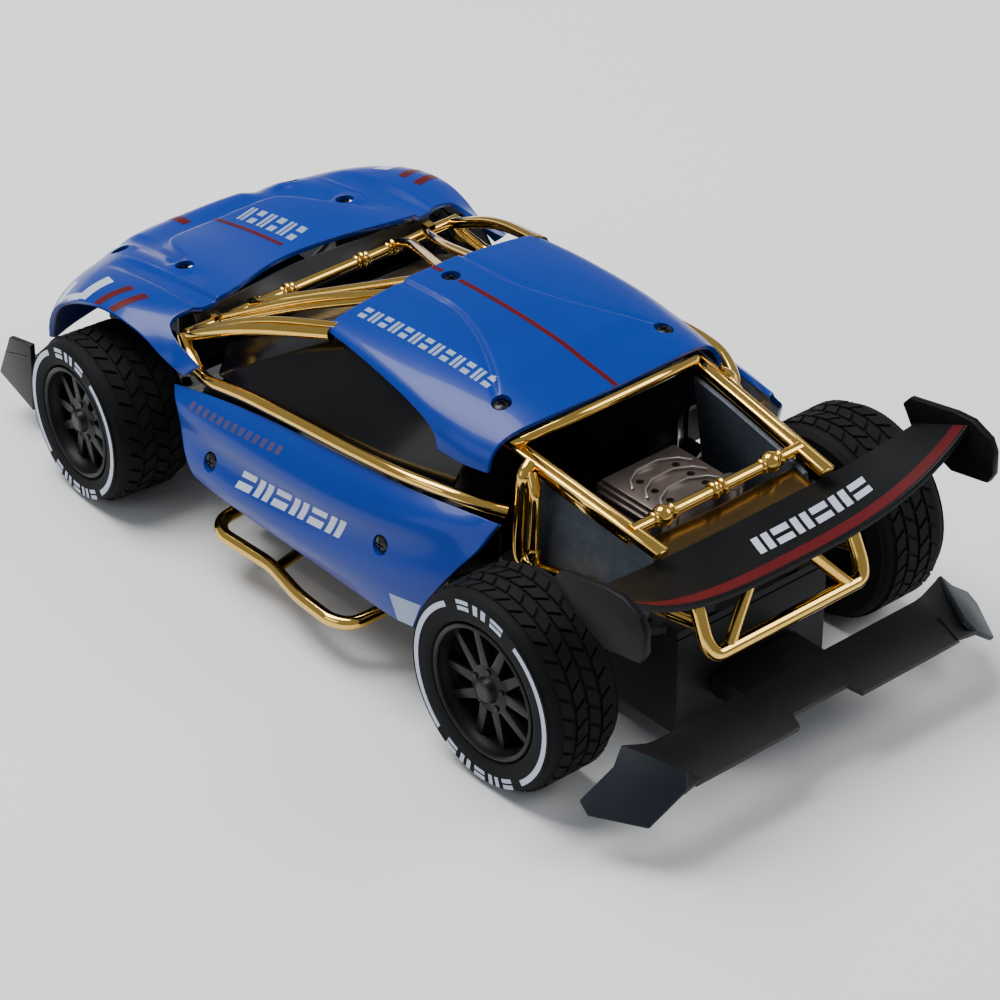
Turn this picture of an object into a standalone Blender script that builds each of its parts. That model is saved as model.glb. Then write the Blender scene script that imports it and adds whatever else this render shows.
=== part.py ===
"""Remote control racing car, about 1:16: a bench-style assembly of separate pieces.

The front of the car points to -Y, its left side to +X, up is +Z, and the tyres stand on Z = 0.
Driving dimensions are in millimetres, and MM turns them into metres.
"""

import math

import bmesh
import bpy
from mathutils import Matrix, Vector

MM = 0.001
GAP = 0.3  # play between pieces that touch

# chassis layout
WHEELBASE = 165.2
FRONT_AXLE_Y = -WHEELBASE / 2
REAR_AXLE_Y = WHEELBASE / 2
FLOOR_LOW = 8.0
FLOOR_HIGH = 9.7
WALL = 1.8
NOSE_HALF = 24.0
CABIN_HALF = 44.0
TAIL_HALF = 25.0
NOSE_Y = -113.0
CABIN_FRONT_Y = -50.0
CABIN_REAR_Y = 52.0
TAIL_Y = 107.0
NOSE_TOP = 24.0
CABIN_TOP = 30.0
TAIL_TOP = 36.0

# wheels: outer radius, width, plane of the outer face, rim radius
REAR_RADIUS = 27.0
REAR_WIDTH = 22.4
REAR_FACE_X = 67.0
REAR_RIM = 18.0
FRONT_RADIUS = 23.2
FRONT_WIDTH = 24.0
FRONT_FACE_X = 65.9
FRONT_RIM = 15.6
AXLE_RADIUS = 2.0
STUB_RADIUS = 1.8
TYRE_SIDES = 24
RIM_SIDES = 20
SPOKES = 5

# steering
KINGPIN_X = 39.0
KINGPIN_RADIUS = 1.6
STEER_AT_REST = math.radians(-5.0)
STEER_ARM = 11.5
STEER_ARM_INSET = 2.0
ROD_PIN_RADIUS = 1.3
ROD_LOW = 28.6
ROD_HIGH = 31.2
ROD_Y = FRONT_AXLE_Y + STEER_ARM
ROD_SHIFT = -STEER_ARM * math.sin(STEER_AT_REST)
HORN_Y = ROD_Y + STEER_ARM
BRIDGE_LOW = 31.0
BRIDGE_HIGH = 34.5

# rear drive: spur gear on the axle, pinion on the motor shaft
MODULE = 0.6
SPUR_TEETH = 28
PINION_TEETH = 12
GEAR_X = 8.5
GEAR_WIDTH = 4.0
MOTOR_Y = REAR_AXLE_Y - MODULE * (SPUR_TEETH + PINION_TEETH) / 2
MOTOR_RADIUS = 8.5

# bodywork
SHELL = 1.3
PANEL = 1.5
SCREW_HEAD = 2.2
SCREW_SHANK = 1.0
TUBE_SIDES_RESOLUTION = 2
ROOF_SCREWS = ((0.0, -6.2, 77.6), (27.0, 44.6, 75.0), (-27.0, 44.6, 75.0))
HOOD_SCREWS = ((27.5, -83.8, 57.4), (-27.5, -83.8, 57.4), (29.5, -110.5, 50.6), (-29.5, -110.5, 50.6))
SIDE_SCREWS = ((59.1, -32.6, 33.8), (58.3, 35.4, 42.3))


def start_clean():
    """Removes whatever the opened scene holds."""
    for leftover in list(bpy.data.objects):
        bpy.data.objects.remove(leftover, do_unlink=True)


def new_collection(name):
    collection = bpy.data.collections.new(name)
    bpy.context.scene.collection.children.link(collection)
    return collection


start_clean()
CAR = new_collection("remote_control_car")
CUTTERS = new_collection("cutters")
CUTTERS.hide_render = True


def paint(name, colour, roughness, metallic=0.0):
    material = bpy.data.materials.new(name)
    material.use_nodes = True
    shader = material.node_tree.nodes["Principled BSDF"]
    shader.inputs["Base Color"].default_value = (*colour, 1.0)
    shader.inputs["Roughness"].default_value = roughness
    shader.inputs["Metallic"].default_value = metallic
    return material


BLUE = paint("blue_gloss_paint", (0.0, 0.09, 0.52), 0.22, 0.2)
GOLD = paint("gold_plating", (0.83, 0.55, 0.16), 0.12, 1.0)
BLACK = paint("black_moulding", (0.012, 0.012, 0.014), 0.45)
GLOSS_BLACK = paint("black_gloss_moulding", (0.008, 0.008, 0.009), 0.12)
SLATE = paint("slate_textured_moulding", (0.055, 0.068, 0.088), 0.5)
TYRE = paint("tyre_rubber", (0.018, 0.018, 0.019), 0.75)
RIM = paint("rim_moulding", (0.014, 0.014, 0.015), 0.4)
ENGINE = paint("gunmetal_moulding", (0.11, 0.09, 0.085), 0.35, 0.6)
STEEL = paint("bright_steel", (0.56, 0.57, 0.58), 0.3, 1.0)
SCREW = paint("black_zinc_screw", (0.03, 0.03, 0.03), 0.35, 0.9)
NYLON = paint("white_nylon", (0.75, 0.74, 0.7), 0.45)
BOARD = paint("green_circuit_board", (0.02, 0.16, 0.06), 0.5)
CELL = paint("battery_sleeve", (0.05, 0.12, 0.3), 0.4)
BRASS = paint("brass_pinion", (0.75, 0.55, 0.22), 0.3, 1.0)


def mm(x, y, z):
    return Vector((x * MM, y * MM, z * MM))


def pivot(name, place, parent=None, turn=(0.0, 0.0, 0.0)):
    """An empty on a joint's axis, which the moving pieces hang from."""
    empty = bpy.data.objects.new(name, None)
    empty.empty_display_size = 0.01
    empty.location = mm(*place)
    empty.rotation_euler = turn
    empty.parent = parent
    CAR.objects.link(empty)
    return empty


def add_object(name, mesh, material, parent=None):
    item = bpy.data.objects.new(name, mesh)
    item.parent = parent
    mesh.materials.clear()
    mesh.materials.append(material)
    CAR.objects.link(item)
    return item


def smooth(item, degrees=35.0):
    item.data.shade_smooth()
    item.data.set_sharp_from_angle(angle=math.radians(degrees))


def mesh_of(bm, name):
    mesh = bpy.data.meshes.new(name)
    bmesh.ops.recalc_face_normals(bm, faces=bm.faces)
    bm.to_mesh(mesh)
    bm.free()
    return mesh


def box(name, low, high, material, parent=None):
    """A block between two opposite corners."""
    bm = bmesh.new()
    bmesh.ops.create_cube(bm, size=1.0)
    size = mm(*high) - mm(*low)
    bmesh.ops.scale(bm, vec=size, verts=bm.verts)
    item = add_object(name, mesh_of(bm, name), material, parent)
    item.location = (mm(*low) + mm(*high)) / 2
    return item


def rod(name, start, end, radius, material, parent=None, sides=12):
    """A round bar between two points."""
    base = mm(*start)
    run = mm(*end) - base
    bm = bmesh.new()
    bmesh.ops.create_cone(bm, cap_ends=True, segments=sides, radius1=radius * MM,
                          radius2=radius * MM, depth=run.length)
    item = add_object(name, mesh_of(bm, name), material, parent)
    item.location = base + run / 2
    item.rotation_mode = "QUATERNION"
    item.rotation_quaternion = run.to_track_quat("Z", "Y")
    smooth(item)
    return item


def ball(name, centre, radius, material):
    bm = bmesh.new()
    bmesh.ops.create_uvsphere(bm, u_segments=10, v_segments=6, radius=radius * MM)
    item = add_object(name, mesh_of(bm, name), material)
    item.location = mm(*centre)
    smooth(item)
    return item


def as_mesh(curve_object, name, material, parent=None):
    """Turns a curve object into a closed mesh object with its caps welded."""
    graph = bpy.context.evaluated_depsgraph_get()
    mesh = bpy.data.meshes.new_from_object(curve_object.evaluated_get(graph))
    mesh.name = name
    place = curve_object.matrix_world.copy()
    bpy.data.objects.remove(curve_object, do_unlink=True)
    bm = bmesh.new()
    bm.from_mesh(mesh)
    bmesh.ops.remove_doubles(bm, verts=bm.verts, dist=1e-6)
    bmesh.ops.transform(bm, matrix=place, verts=bm.verts)
    bmesh.ops.recalc_face_normals(bm, faces=bm.faces)
    bm.to_mesh(mesh)
    bm.free()
    return add_object(name, mesh, material, parent)


def curve_object(points, cyclic):
    data = bpy.data.curves.new("guide", "CURVE")
    spline = data.splines.new("POLY")
    spline.points.add(len(points) - 1)
    for knot, point in zip(spline.points, points):
        knot.co = (*point, 1.0)
    spline.use_cyclic_u = cyclic
    item = bpy.data.objects.new("guide", data)
    CAR.objects.link(item)
    return item


PLANE_TURNS = {
    "X": Matrix(((0, 0, 1), (1, 0, 0), (0, 1, 0))),
    "Y": Matrix(((1, 0, 0), (0, 0, -1), (0, 1, 0))),
    "Z": Matrix.Identity(3),
}


def prism(name, outline, normal, low, high, material, parent=None):
    """A flat outline given in the plane across `normal`, made `high - low` thick along it."""
    flat = [Vector((u * MM, v * MM, 0.0)) for u, v in outline]
    item = curve_object(flat, True)
    item.data.dimensions = "2D"
    item.data.fill_mode = "BOTH"
    item.data.extrude = (high - low) / 2 * MM
    middle = {"X": (1, 0, 0), "Y": (0, 1, 0), "Z": (0, 0, 1)}[normal]
    turn = PLANE_TURNS[normal].to_4x4()
    item.matrix_world = Matrix.Translation(Vector(middle) * (low + high) / 2 * MM) @ turn
    bpy.context.view_layer.update()
    return as_mesh(item, name, material, parent)


def plate(name, points, thickness, inward, material):
    """A flat plate: an outline in one plane, made thick towards its inner side."""
    outline = [Vector(point) * MM for point in points]
    normal = (outline[2] - outline[0]).cross(outline[4] - outline[0]).normalized()
    if normal.dot(Vector(inward)) < 0:
        normal = -normal
    origin = outline[0]
    flat = [point - normal * (point - origin).dot(normal) for point in outline]
    bm = bmesh.new()
    outer = [bm.verts.new(point) for point in flat]
    inner = [bm.verts.new(point + normal * thickness * MM) for point in flat]
    bm.faces.new(outer)
    bm.faces.new(list(reversed(inner)))
    for step in range(len(flat)):
        after = (step + 1) % len(flat)
        bm.faces.new((outer[step], inner[step], inner[after], outer[after]))
    return add_object(name, mesh_of(bm, name), material)


def rounded_path(points, radius, steps=3):
    """The same path with each inner corner turned into an arc."""
    knots = [Vector(point) for point in points]
    path = [knots[0]]
    for before, corner, after in zip(knots, knots[1:], knots[2:]):
        back = before - corner
        ahead = after - corner
        trim = min(radius, back.length * 0.45, ahead.length * 0.45)
        start = corner + back.normalized() * trim
        end = corner + ahead.normalized() * trim
        for step in range(steps + 1):
            share = step / steps
            path.append(start.lerp(corner, share).lerp(corner.lerp(end, share), share))
    path.append(knots[-1])
    return path


def tube(name, points, radius, material, bend=6.0):
    """A round tube along a path with rounded bends."""
    path = [point * MM for point in rounded_path(points, bend)]
    item = curve_object(path, False)
    item.data.dimensions = "3D"
    item.data.bevel_depth = radius * MM
    item.data.bevel_resolution = TUBE_SIDES_RESOLUTION
    item.data.use_fill_caps = True
    bpy.context.view_layer.update()
    tube_mesh = as_mesh(item, name, material)
    smooth(tube_mesh)
    return tube_mesh


def turned(name, profile, sides, material, parent=None):
    """A turned ring: a closed profile of (radius, height) that starts down its outer side."""
    bm = bmesh.new()
    corners = [bm.verts.new((radius * MM, 0.0, height * MM)) for radius, height in profile]
    for first, second in zip(corners, corners[1:] + corners[:1]):
        bm.edges.new((first, second))
    mesh = bpy.data.meshes.new(name)
    bm.to_mesh(mesh)
    bm.free()
    item = add_object(name, mesh, material, parent)
    screw = item.modifiers.new("turn", "SCREW")
    screw.angle = 2 * math.pi
    screw.steps = sides
    screw.render_steps = sides
    screw.use_merge_vertices = True
    screw.merge_threshold = 0.00001
    return item


def sheet(name, patches, thickness, outward, material, mirrored=False, levels=1):
    """A curved shell: patches of rows of points, welded, smoothed and thickened inwards."""
    bm = bmesh.new()
    for rows in patches:
        grid = [[bm.verts.new(mm(*point)) for point in row] for row in rows]
        for low_row, high_row in zip(grid, grid[1:]):
            for column in range(len(low_row) - 1):
                corners = (low_row[column], low_row[column + 1], high_row[column + 1], high_row[column])
                bm.faces.new(corners)
    bmesh.ops.remove_doubles(bm, verts=bm.verts, dist=1e-6)
    bm.normal_update()
    facing = sum((face.normal * face.calc_area() for face in bm.faces), Vector())
    if facing.dot(Vector(outward)) < 0:
        bmesh.ops.reverse_faces(bm, faces=bm.faces)
    mesh = bpy.data.meshes.new(name)
    bm.to_mesh(mesh)
    bm.free()
    item = add_object(name, mesh, material)
    if mirrored:
        mirror = item.modifiers.new("mirror", "MIRROR")
        mirror.use_axis = (True, False, False)
        mirror.use_clip = True
        mirror.merge_threshold = 0.00001
    if levels:
        soft = item.modifiers.new("soft", "SUBSURF")
        soft.levels = levels
        soft.render_levels = levels
        soft.boundary_smooth = "PRESERVE_CORNERS"
    wall = item.modifiers.new("wall", "SOLIDIFY")
    wall.thickness = thickness * MM
    wall.offset = -1.0
    wall.use_even_offset = True
    smooth(item)
    return item


def set_aside(item):
    """Moves a cutter or a joined-on piece out of the model."""
    CAR.objects.unlink(item)
    CUTTERS.objects.link(item)
    item.hide_render = True
    item.display_type = "WIRE"


def combine(target, other, operation):
    change = target.modifiers.new(operation.lower(), "BOOLEAN")
    change.operation = operation
    change.solver = "EXACT"
    change.object = other
    set_aside(other)


def cut(target, *others):
    for other in others:
        combine(target, other, "DIFFERENCE")


def join(target, *others):
    for other in others:
        combine(target, other, "UNION")


def mirrored_points(points, side):
    return [(side * x, y, z) for x, y, z in points]


def both_sides():
    return (("left", 1), ("right", -1))


# ---------------------------------------------------------------- chassis

def chassis_outline(inset=0.0):
    nose = NOSE_HALF - inset
    cabin = CABIN_HALF - inset
    tail = TAIL_HALF - inset
    half = [
        (nose, NOSE_Y + inset), (nose, CABIN_FRONT_Y + inset), (cabin, CABIN_FRONT_Y + 8 + inset),
        (cabin, CABIN_REAR_Y - 8 - inset), (tail, CABIN_REAR_Y - inset), (tail, TAIL_Y - inset),
    ]
    return half + [(-x, y) for x, y in reversed(half)]


def make_chassis():
    """The moulded tub: floor, walls, lower steering arms, axle holes and the battery and switch openings."""
    tray = prism("chassis_tray", chassis_outline(), "Z", FLOOR_LOW, TAIL_TOP, BLACK)
    cut(tray, prism("tray_hollow", chassis_outline(WALL), "Z", FLOOR_HIGH, TAIL_TOP + 5, BLACK))
    cut(tray, box("low_nose", (-60, NOSE_Y - 5, NOSE_TOP), (60, CABIN_FRONT_Y, 60), BLACK))
    cut(tray, box("low_cabin", (-60, CABIN_FRONT_Y - 1, CABIN_TOP), (60, CABIN_REAR_Y + 2, 60), BLACK))
    for side_name, side in both_sides():
        kingpin = side * KINGPIN_X
        inner, outer = sorted((side * (NOSE_HALF - 0.9), side * (KINGPIN_X + 4)))
        arm = box("lower_arm_" + side_name, (inner, FRONT_AXLE_Y - 4, 10.9),
                  (outer, FRONT_AXLE_Y + 4, 14.5), BLACK)
        join(tray, arm)
        hole = rod("lower_hole_" + side_name, (kingpin, FRONT_AXLE_Y, 5), (kingpin, FRONT_AXLE_Y, 16),
                   KINGPIN_RADIUS + GAP, BLACK)
        cut(tray, hole)
    cut(tray, rod("axle_hole", (-40, REAR_AXLE_Y, REAR_RADIUS), (40, REAR_AXLE_Y, REAR_RADIUS), 4.8,
                  BLACK, sides=16))
    cut(tray, box("battery_opening", (-29.3, -20.3, 5), (29.3, 14.3, 20), BLACK))
    cut(tray, box("switch_opening", (-8, 26, 5), (8, 32, 20), BLACK))
    return tray


def make_battery():
    cover = box("battery_cover", (-29, -20, FLOOR_LOW), (29, 14, FLOOR_HIGH), BLACK)
    cut(cover, rod("cover_screw_hole", (0, 10, 5), (0, 10, 15), SCREW_HEAD + GAP, BLACK))
    pack = box("battery_pack", (-26, -17, FLOOR_HIGH + GAP), (26, 6.5, 24), CELL)
    edge = pack.modifiers.new("edge", "BEVEL")
    edge.width = 2.5 * MM
    edge.segments = 2
    return cover, pack


def make_deck():
    """The flat cover over the electronics, with the bosses that the side panels screw into."""
    half = [(CABIN_HALF - 10, CABIN_FRONT_Y + 0.5), (CABIN_HALF, CABIN_FRONT_Y + 8.5),
            (CABIN_HALF, CABIN_REAR_Y - 8.5), (TAIL_HALF + 1, CABIN_REAR_Y - 0.5)]
    outline = half + [(-x, y) for x, y in reversed(half)]
    deck = prism("upper_deck", outline, "Z", CABIN_TOP + GAP, 32.0, BLACK)
    for side_name, side in both_sides():
        for number, (x, y, z) in enumerate(SIDE_SCREWS):
            tag = f"{side_name}_{number}"
            inner, outer = sorted((side * 43.0, side * 49.0))
            join(deck, box("boss_web_" + tag, (inner, y - 2.6, CABIN_TOP + GAP), (outer, y + 2.6, z),
                           BLACK))
            join(deck, rod("boss_" + tag, (side * 42.9, y, z), (side * (x - 3.5), y, z), 3.2, BLACK))
            join(deck, rod("boss_nose_" + tag, (side * 50, y, z), (side * (x - 1.5), y, z), 2.0, BLACK))
            cut(deck, rod("boss_hole_" + tag, (side * 50, y, z), (side * 70, y, z), SCREW_SHANK + GAP,
                          BLACK, sides=8))
    return deck


def make_front_bridge():
    """The plate that caps the kingpins and carries the posts under the hood."""
    outline = [(43, -86.6), (43, -78.6), (24, -77), (-24, -77), (-43, -78.6), (-43, -86.6), (-24, -88),
               (-24, -105), (-33, -107), (-33, -112.5), (33, -112.5), (33, -107), (24, -105), (24, -88)]
    bridge = prism("front_bridge", outline, "Z", BRIDGE_LOW, BRIDGE_HIGH, BLACK)
    for side_name, side in both_sides():
        kingpin = side * KINGPIN_X
        cut(bridge, rod("upper_hole_" + side_name, (kingpin, FRONT_AXLE_Y, 28), (kingpin, FRONT_AXLE_Y, 37),
                        KINGPIN_RADIUS + GAP, BLACK))
        join(bridge, rod("bridge_leg_" + side_name, (side * 19, -96, NOSE_TOP - 14),
                         (side * 19, -96, BRIDGE_LOW + 1), 3, BLACK))
    for number, (x, y, z) in enumerate(HOOD_SCREWS):
        top = z - SHELL - 2.2
        join(bridge, rod(f"hood_post_{number}", (x, y, BRIDGE_LOW + 1), (x, y, top), 2.8, BLACK))
        cut(bridge, rod(f"hood_post_hole_{number}", (x, y, top - 7), (x, y, top + 3), SCREW_SHANK + GAP,
                        BLACK, sides=8))
    return bridge


def make_bushes():
    for side_name, side in both_sides():
        seat = pivot("bush_seat_" + side_name, (side * (TAIL_HALF - WALL / 2), REAR_AXLE_Y, REAR_RADIUS),
                     turn=(0.0, side * math.pi / 2, 0.0))
        profile = [(4.5, 2.4), (4.5, -2.4), (AXLE_RADIUS + GAP, -2.4), (AXLE_RADIUS + GAP, 2.4)]
        turned("axle_bush_" + side_name, profile, 16, NYLON, seat)


# ---------------------------------------------------------------- drive

def gear_outline(teeth, first_tooth):
    """A spur gear's outline with trapezoid teeth and running play."""
    pitch = MODULE * teeth / 2
    tip = pitch + 0.62 * MODULE
    root = pitch - 1.05 * MODULE
    spacing = 2 * math.pi / teeth
    outline = []
    for tooth in range(teeth):
        middle = first_tooth + tooth * spacing
        for radius, share in ((root, -0.31), (tip, -0.12), (tip, 0.12), (root, 0.31)):
            angle = middle + share * spacing
            outline.append((radius * math.cos(angle), radius * math.sin(angle)))
    return outline


def make_drive():
    axle = pivot("rear_axle_line", (0, REAR_AXLE_Y, REAR_RADIUS))
    rod("rear_axle", (-REAR_FACE_X + 1, 0, 0), (REAR_FACE_X - 1, 0, 0), AXLE_RADIUS, STEEL, axle, sides=12)
    gear = prism("axle_gear", gear_outline(SPUR_TEETH, 0.0), "X", GEAR_X - GEAR_WIDTH / 2,
                 GEAR_X + GEAR_WIDTH / 2, NYLON, axle)
    bore = rod("gear_bore", (-5, 0, 0), (20, 0, 0), AXLE_RADIUS + GAP, NYLON, axle)
    cut(gear, bore)
    for side_name, side in both_sides():
        make_wheel("rear", side_name, side, (side * (REAR_FACE_X - REAR_WIDTH / 2), 0, 0), axle,
                   REAR_RADIUS, REAR_WIDTH, REAR_RIM, AXLE_RADIUS)
    shaft = pivot("motor_line", (0, MOTOR_Y, REAR_RADIUS))
    spacing = 2 * math.pi / PINION_TEETH
    pinion = prism("motor_pinion", gear_outline(PINION_TEETH, spacing / 2), "X",
                   GEAR_X - GEAR_WIDTH / 2 - 0.5, GEAR_X + GEAR_WIDTH / 2 + 0.5, BRASS, shaft)
    join(pinion, rod("motor_shaft", (2.5, 0, 0), (7, 0, 0), 1.0, BRASS, shaft, sides=10))
    motor = rod("drive_motor", (-21, 0, 0), (4, 0, 0), MOTOR_RADIUS, STEEL, shaft, sides=16)
    cut(motor, rod("shaft_hole", (1.5, 0, 0), (6, 0, 0), 1.0 + GAP, STEEL, shaft, sides=10))


# ---------------------------------------------------------------- wheels

def tyre_profile(radius, width, bead):
    half = width / 2
    tread = radius / math.cos(math.pi / TYRE_SIDES)
    outer = [(tread - 2.2, half), (tread - 0.4, half - 1.6), (tread, half - 4.5)]
    low = [(r, -z) for r, z in reversed(outer)]
    return outer + low + [(bead, 1.0 - half), (bead, half - 1.0)]


def rim_profile(radius, width, bore):
    half = width / 2
    inside = radius - 1.6
    return [
        (radius, half - 0.4), (radius, 0.9 - half), (inside, 0.9 - half), (inside, half - 6.5),
        (4.8, half - 6.5), (4.8, 4.0 - half), (bore + GAP, 4.0 - half), (bore + GAP, half - 0.6),
        (4.8, half - 0.6), (4.8, half - 3.2), (inside, half - 3.2), (inside, half - 0.4),
    ]


def make_wheel(end, side_name, side, place, parent, radius, width, rim_radius, bore):
    """A tyre on its rim; local +Z points outwards along the axle."""
    hub = pivot(f"{end}_wheel_{side_name}", place, parent, (0.0, side * math.pi / 2, 0.0))
    tyre = turned(f"{end}_tyre_{side_name}", tyre_profile(radius, width, rim_radius + GAP), TYRE_SIDES,
                  TYRE, hub)
    tyre.rotation_euler = (0.0, 0.0, math.pi / TYRE_SIDES)
    rim = turned(f"{end}_rim_{side_name}", rim_profile(rim_radius, width, bore), RIM_SIDES, RIM, hub)
    rim.rotation_euler = (0.0, 0.0, math.pi / RIM_SIDES)
    inner = 6.6
    outer = rim_radius - 2.6
    for spoke in range(SPOKES):
        middle = 2 * math.pi * (spoke + 0.5) / SPOKES
        reach = math.radians(17.0)
        window = []
        for distance, spread in ((inner, -0.8), (outer, -1.0), (outer, 1.0), (inner, 0.8)):
            angle = middle + spread * reach
            window.append((distance * math.cos(angle), distance * math.sin(angle)))
        cutter = prism(f"{rim.name}_window_{spoke}", window, "Z", width / 2 - 9, width / 2 - 1, RIM, hub)
        cut(rim, cutter)
    return hub


# ---------------------------------------------------------------- steering

def make_steering():
    for side_name, side in both_sides():
        kingpin = pivot("kingpin_" + side_name, (side * KINGPIN_X, FRONT_AXLE_Y, FRONT_RADIUS),
                        turn=(0.0, 0.0, STEER_AT_REST))
        knuckle = box("steering_knuckle_" + side_name, (-3, -3.5, -7), (3, 3.5, 7), BLACK, kingpin)
        join(knuckle, rod("kingpin_bar_" + side_name, (0, 0, -10.5), (0, 0, 10.5), KINGPIN_RADIUS, BLACK,
                          kingpin))
        stub_end = FRONT_FACE_X - KINGPIN_X - 1.0
        join(knuckle, rod("stub_axle_" + side_name, (side * 1, 0, 0), (side * stub_end, 0, 0),
                          STUB_RADIUS, BLACK, kingpin))
        inner, outer = sorted((side * -4.0, side * -0.4))
        join(knuckle, box("steer_arm_" + side_name, (inner, 2.5, 2.5), (outer, 13.3, 5.0), BLACK, kingpin))
        pin_x = -side * STEER_ARM_INSET
        join(knuckle, rod("steer_pin_" + side_name, (pin_x, STEER_ARM, 4.0), (pin_x, STEER_ARM, 9.2),
                          ROD_PIN_RADIUS, BLACK, kingpin))
        middle = side * (FRONT_FACE_X - FRONT_WIDTH / 2 - KINGPIN_X)
        make_wheel("front", side_name, side, (middle, 0, 0), kingpin, FRONT_RADIUS, FRONT_WIDTH,
                   FRONT_RIM, STUB_RADIUS)
    make_tie_rod()
    make_servo()


def slot(name, x, y, half_width, half_length, parent):
    """An upright slotted hole, longer along Y."""
    straight = half_length - half_width
    outline = []
    for centre, start in ((straight, 0.0), (-straight, math.pi)):
        for step in range(5):
            angle = start + math.pi * step / 4
            outline.append((x + half_width * math.cos(angle), y + centre + half_width * math.sin(angle)))
    return prism(name, outline, "Z", -10, 10, NYLON, parent)


def make_tie_rod():
    """The flat bar that links both knuckles, slotted for their pins and for the servo horn's pin."""
    rod_frame = pivot("tie_rod_line", (ROD_SHIFT, ROD_Y, (ROD_LOW + ROD_HIGH) / 2))
    pin_x = KINGPIN_X - STEER_ARM_INSET
    thick = (ROD_HIGH - ROD_LOW) / 2
    tie = box("tie_rod", (1 - pin_x, -1.7, -thick), (pin_x - 1, 1.7, thick), NYLON, rod_frame)
    join(tie, box("rod_middle", (-3.8, -3.6, -thick), (3.8, 3.6, thick), NYLON, rod_frame))
    for side_name, side in both_sides():
        inner, outer = sorted((side * (pin_x - 3.4), side * (pin_x + 3.2)))
        join(tie, box("rod_eye_" + side_name, (inner, -4.4, -thick), (outer, 3.0, thick), NYLON, rod_frame))
        cut(tie, slot("rod_slot_" + side_name, side * pin_x, -0.6, 1.8, 2.7, rod_frame))
    cut(tie, slot("rod_slot_middle", 0.0, 0.3, 1.6, 2.3, rod_frame))


def make_servo():
    servo = box("steering_servo", (-10, -67, FLOOR_HIGH + GAP), (10, -52.3, 24.3), BLACK)
    cut(servo, rod("servo_hole", (0, HORN_Y, 20), (0, HORN_Y, 26), 1.5 + GAP, BLACK))
    horn_frame = pivot("servo_shaft_line", (0, HORN_Y, 0), turn=(0.0, 0.0, -STEER_AT_REST))
    horn = rod("servo_horn", (0, 0, 24.7), (0, 0, 27.2), 3.6, NYLON, horn_frame)
    join(horn, rod("horn_stub", (0, 0, 20.6), (0, 0, 25.5), 1.5, NYLON, horn_frame))
    join(horn, box("horn_arm", (-1.9, -STEER_ARM - 1.9, 25.0), (1.9, 0, 27.1), NYLON, horn_frame))
    join(horn, rod("horn_pin", (0, -STEER_ARM, 26), (0, -STEER_ARM, 32), 1.2, NYLON, horn_frame))


# ---------------------------------------------------------------- electronics

def make_electronics():
    board = box("circuit_board", (-20, 18, 14), (20, 44, 15.6), BOARD)
    join(board, box("receiver_chip", (-12, 34, 15), (-2, 41, 17.6), BOARD))
    join(board, box("driver_chip", (3, 32, 15), (12, 40, 17.9), BOARD))
    join(board, rod("capacitor", (15, 22, 15), (15, 22, 25), 3.0, BOARD))
    join(board, box("switch_case", (-7, 25, 15), (7, 33, 22), BOARD))
    cut(board, box("switch_throat", (-5.6, 26.6, 10), (5.6, 31.4, 19), BOARD))
    cap = box("power_switch", (-4.4, 27.0, 8.6), (-0.4, 31.0, 18.4), GLOSS_BLACK)
    return board, cap


# ---------------------------------------------------------------- bodywork

def screw(name, head, into, length=6.0):
    """A cross-head screw: its head's top at `head`, pointing along `into`."""
    way = Vector(into)
    top = Vector(head)
    base = top + way * 1.1
    tip = top + way * length
    item = rod(name, top, base, SCREW_HEAD, SCREW, sides=10)
    join(item, rod(name + "_shank", top + way * 0.6, tip, SCREW_SHANK, SCREW, sides=8))
    return item


def hood_rows():
    """Half of the front shell, from the lip under the nose to the rear edge of the hood."""
    return [
        [(0, -130, 25), (13, -130, 25), (24, -128.5, 25.5), (33, -126, 26), (43, -121.5, 27.5),
         (49.5, -116.8, 29), (51.5, -114.8, 31)],
        [(0, -131.5, 37), (13, -131, 37), (24, -128.5, 37.5), (33, -124, 38), (43, -119, 39),
         (50, -115.5, 38.5), (52.2, -113.7, 36.5)],
        [(0, -126, 46), (13, -124.5, 47), (24, -119, 49.5), (33, -113.5, 50.3), (43, -111.5, 50),
         (50.5, -110.5, 46), (53.5, -109, 43.5)],
        [(0, -113, 50.3), (13, -112, 52), (24, -108, 54), (33, -104, 54.3), (43.5, -102.5, 55),
         (51.5, -101.5, 52.5), (55.3, -101.5, 49.5)],
        [(0, -100, 53), (13, -100, 54.8), (24, -97, 56.3), (33, -95, 56), (43.5, -93.5, 57.7),
         (52, -93.5, 56.3), (56, -93, 54)],
        [(0, -90, 54.8), (13, -89, 56.6), (24, -86, 58), (33, -84, 57.6), (43.5, -83.5, 59.5),
         (52, -83.5, 58.8), (56, -83.5, 56.7)],
        [(0, -80, 56), (13, -77, 58), (24, -73, 59.8), (33, -73, 59), (43, -73, 60), (51.5, -73.5, 59.4),
         (56, -74, 57.3)],
        [(0, -72.5, 56.7), (13, -68.5, 58.5), (24, -62, 61), (33, -60.5, 60.8), (42, -62.5, 59.5),
         (49.5, -64, 58.2), (55.3, -65, 55.7)],
    ]


def make_hood():
    rows = hood_rows()
    tail = [rows[-1][5:], [(51, -55, 54.8), (54.8, -57.5, 51.4)], [(53, -45.5, 54), (54, -50, 49.6)]]
    hood = sheet("hood_shell", [rows, tail], SHELL, (0, -0.2, 1), BLUE, mirrored=True)
    for number, (x, y, z) in enumerate(HOOD_SCREWS):
        cut(hood, rod(f"hood_hole_{number}", (x, y, z - 9), (x, y, z + 6), SCREW_HEAD + GAP, BLUE,
                      sides=10))
        screw(f"hood_screw_{number + 1}", (x, y, z - 1.2), (0, 0, -1))
    return hood


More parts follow.
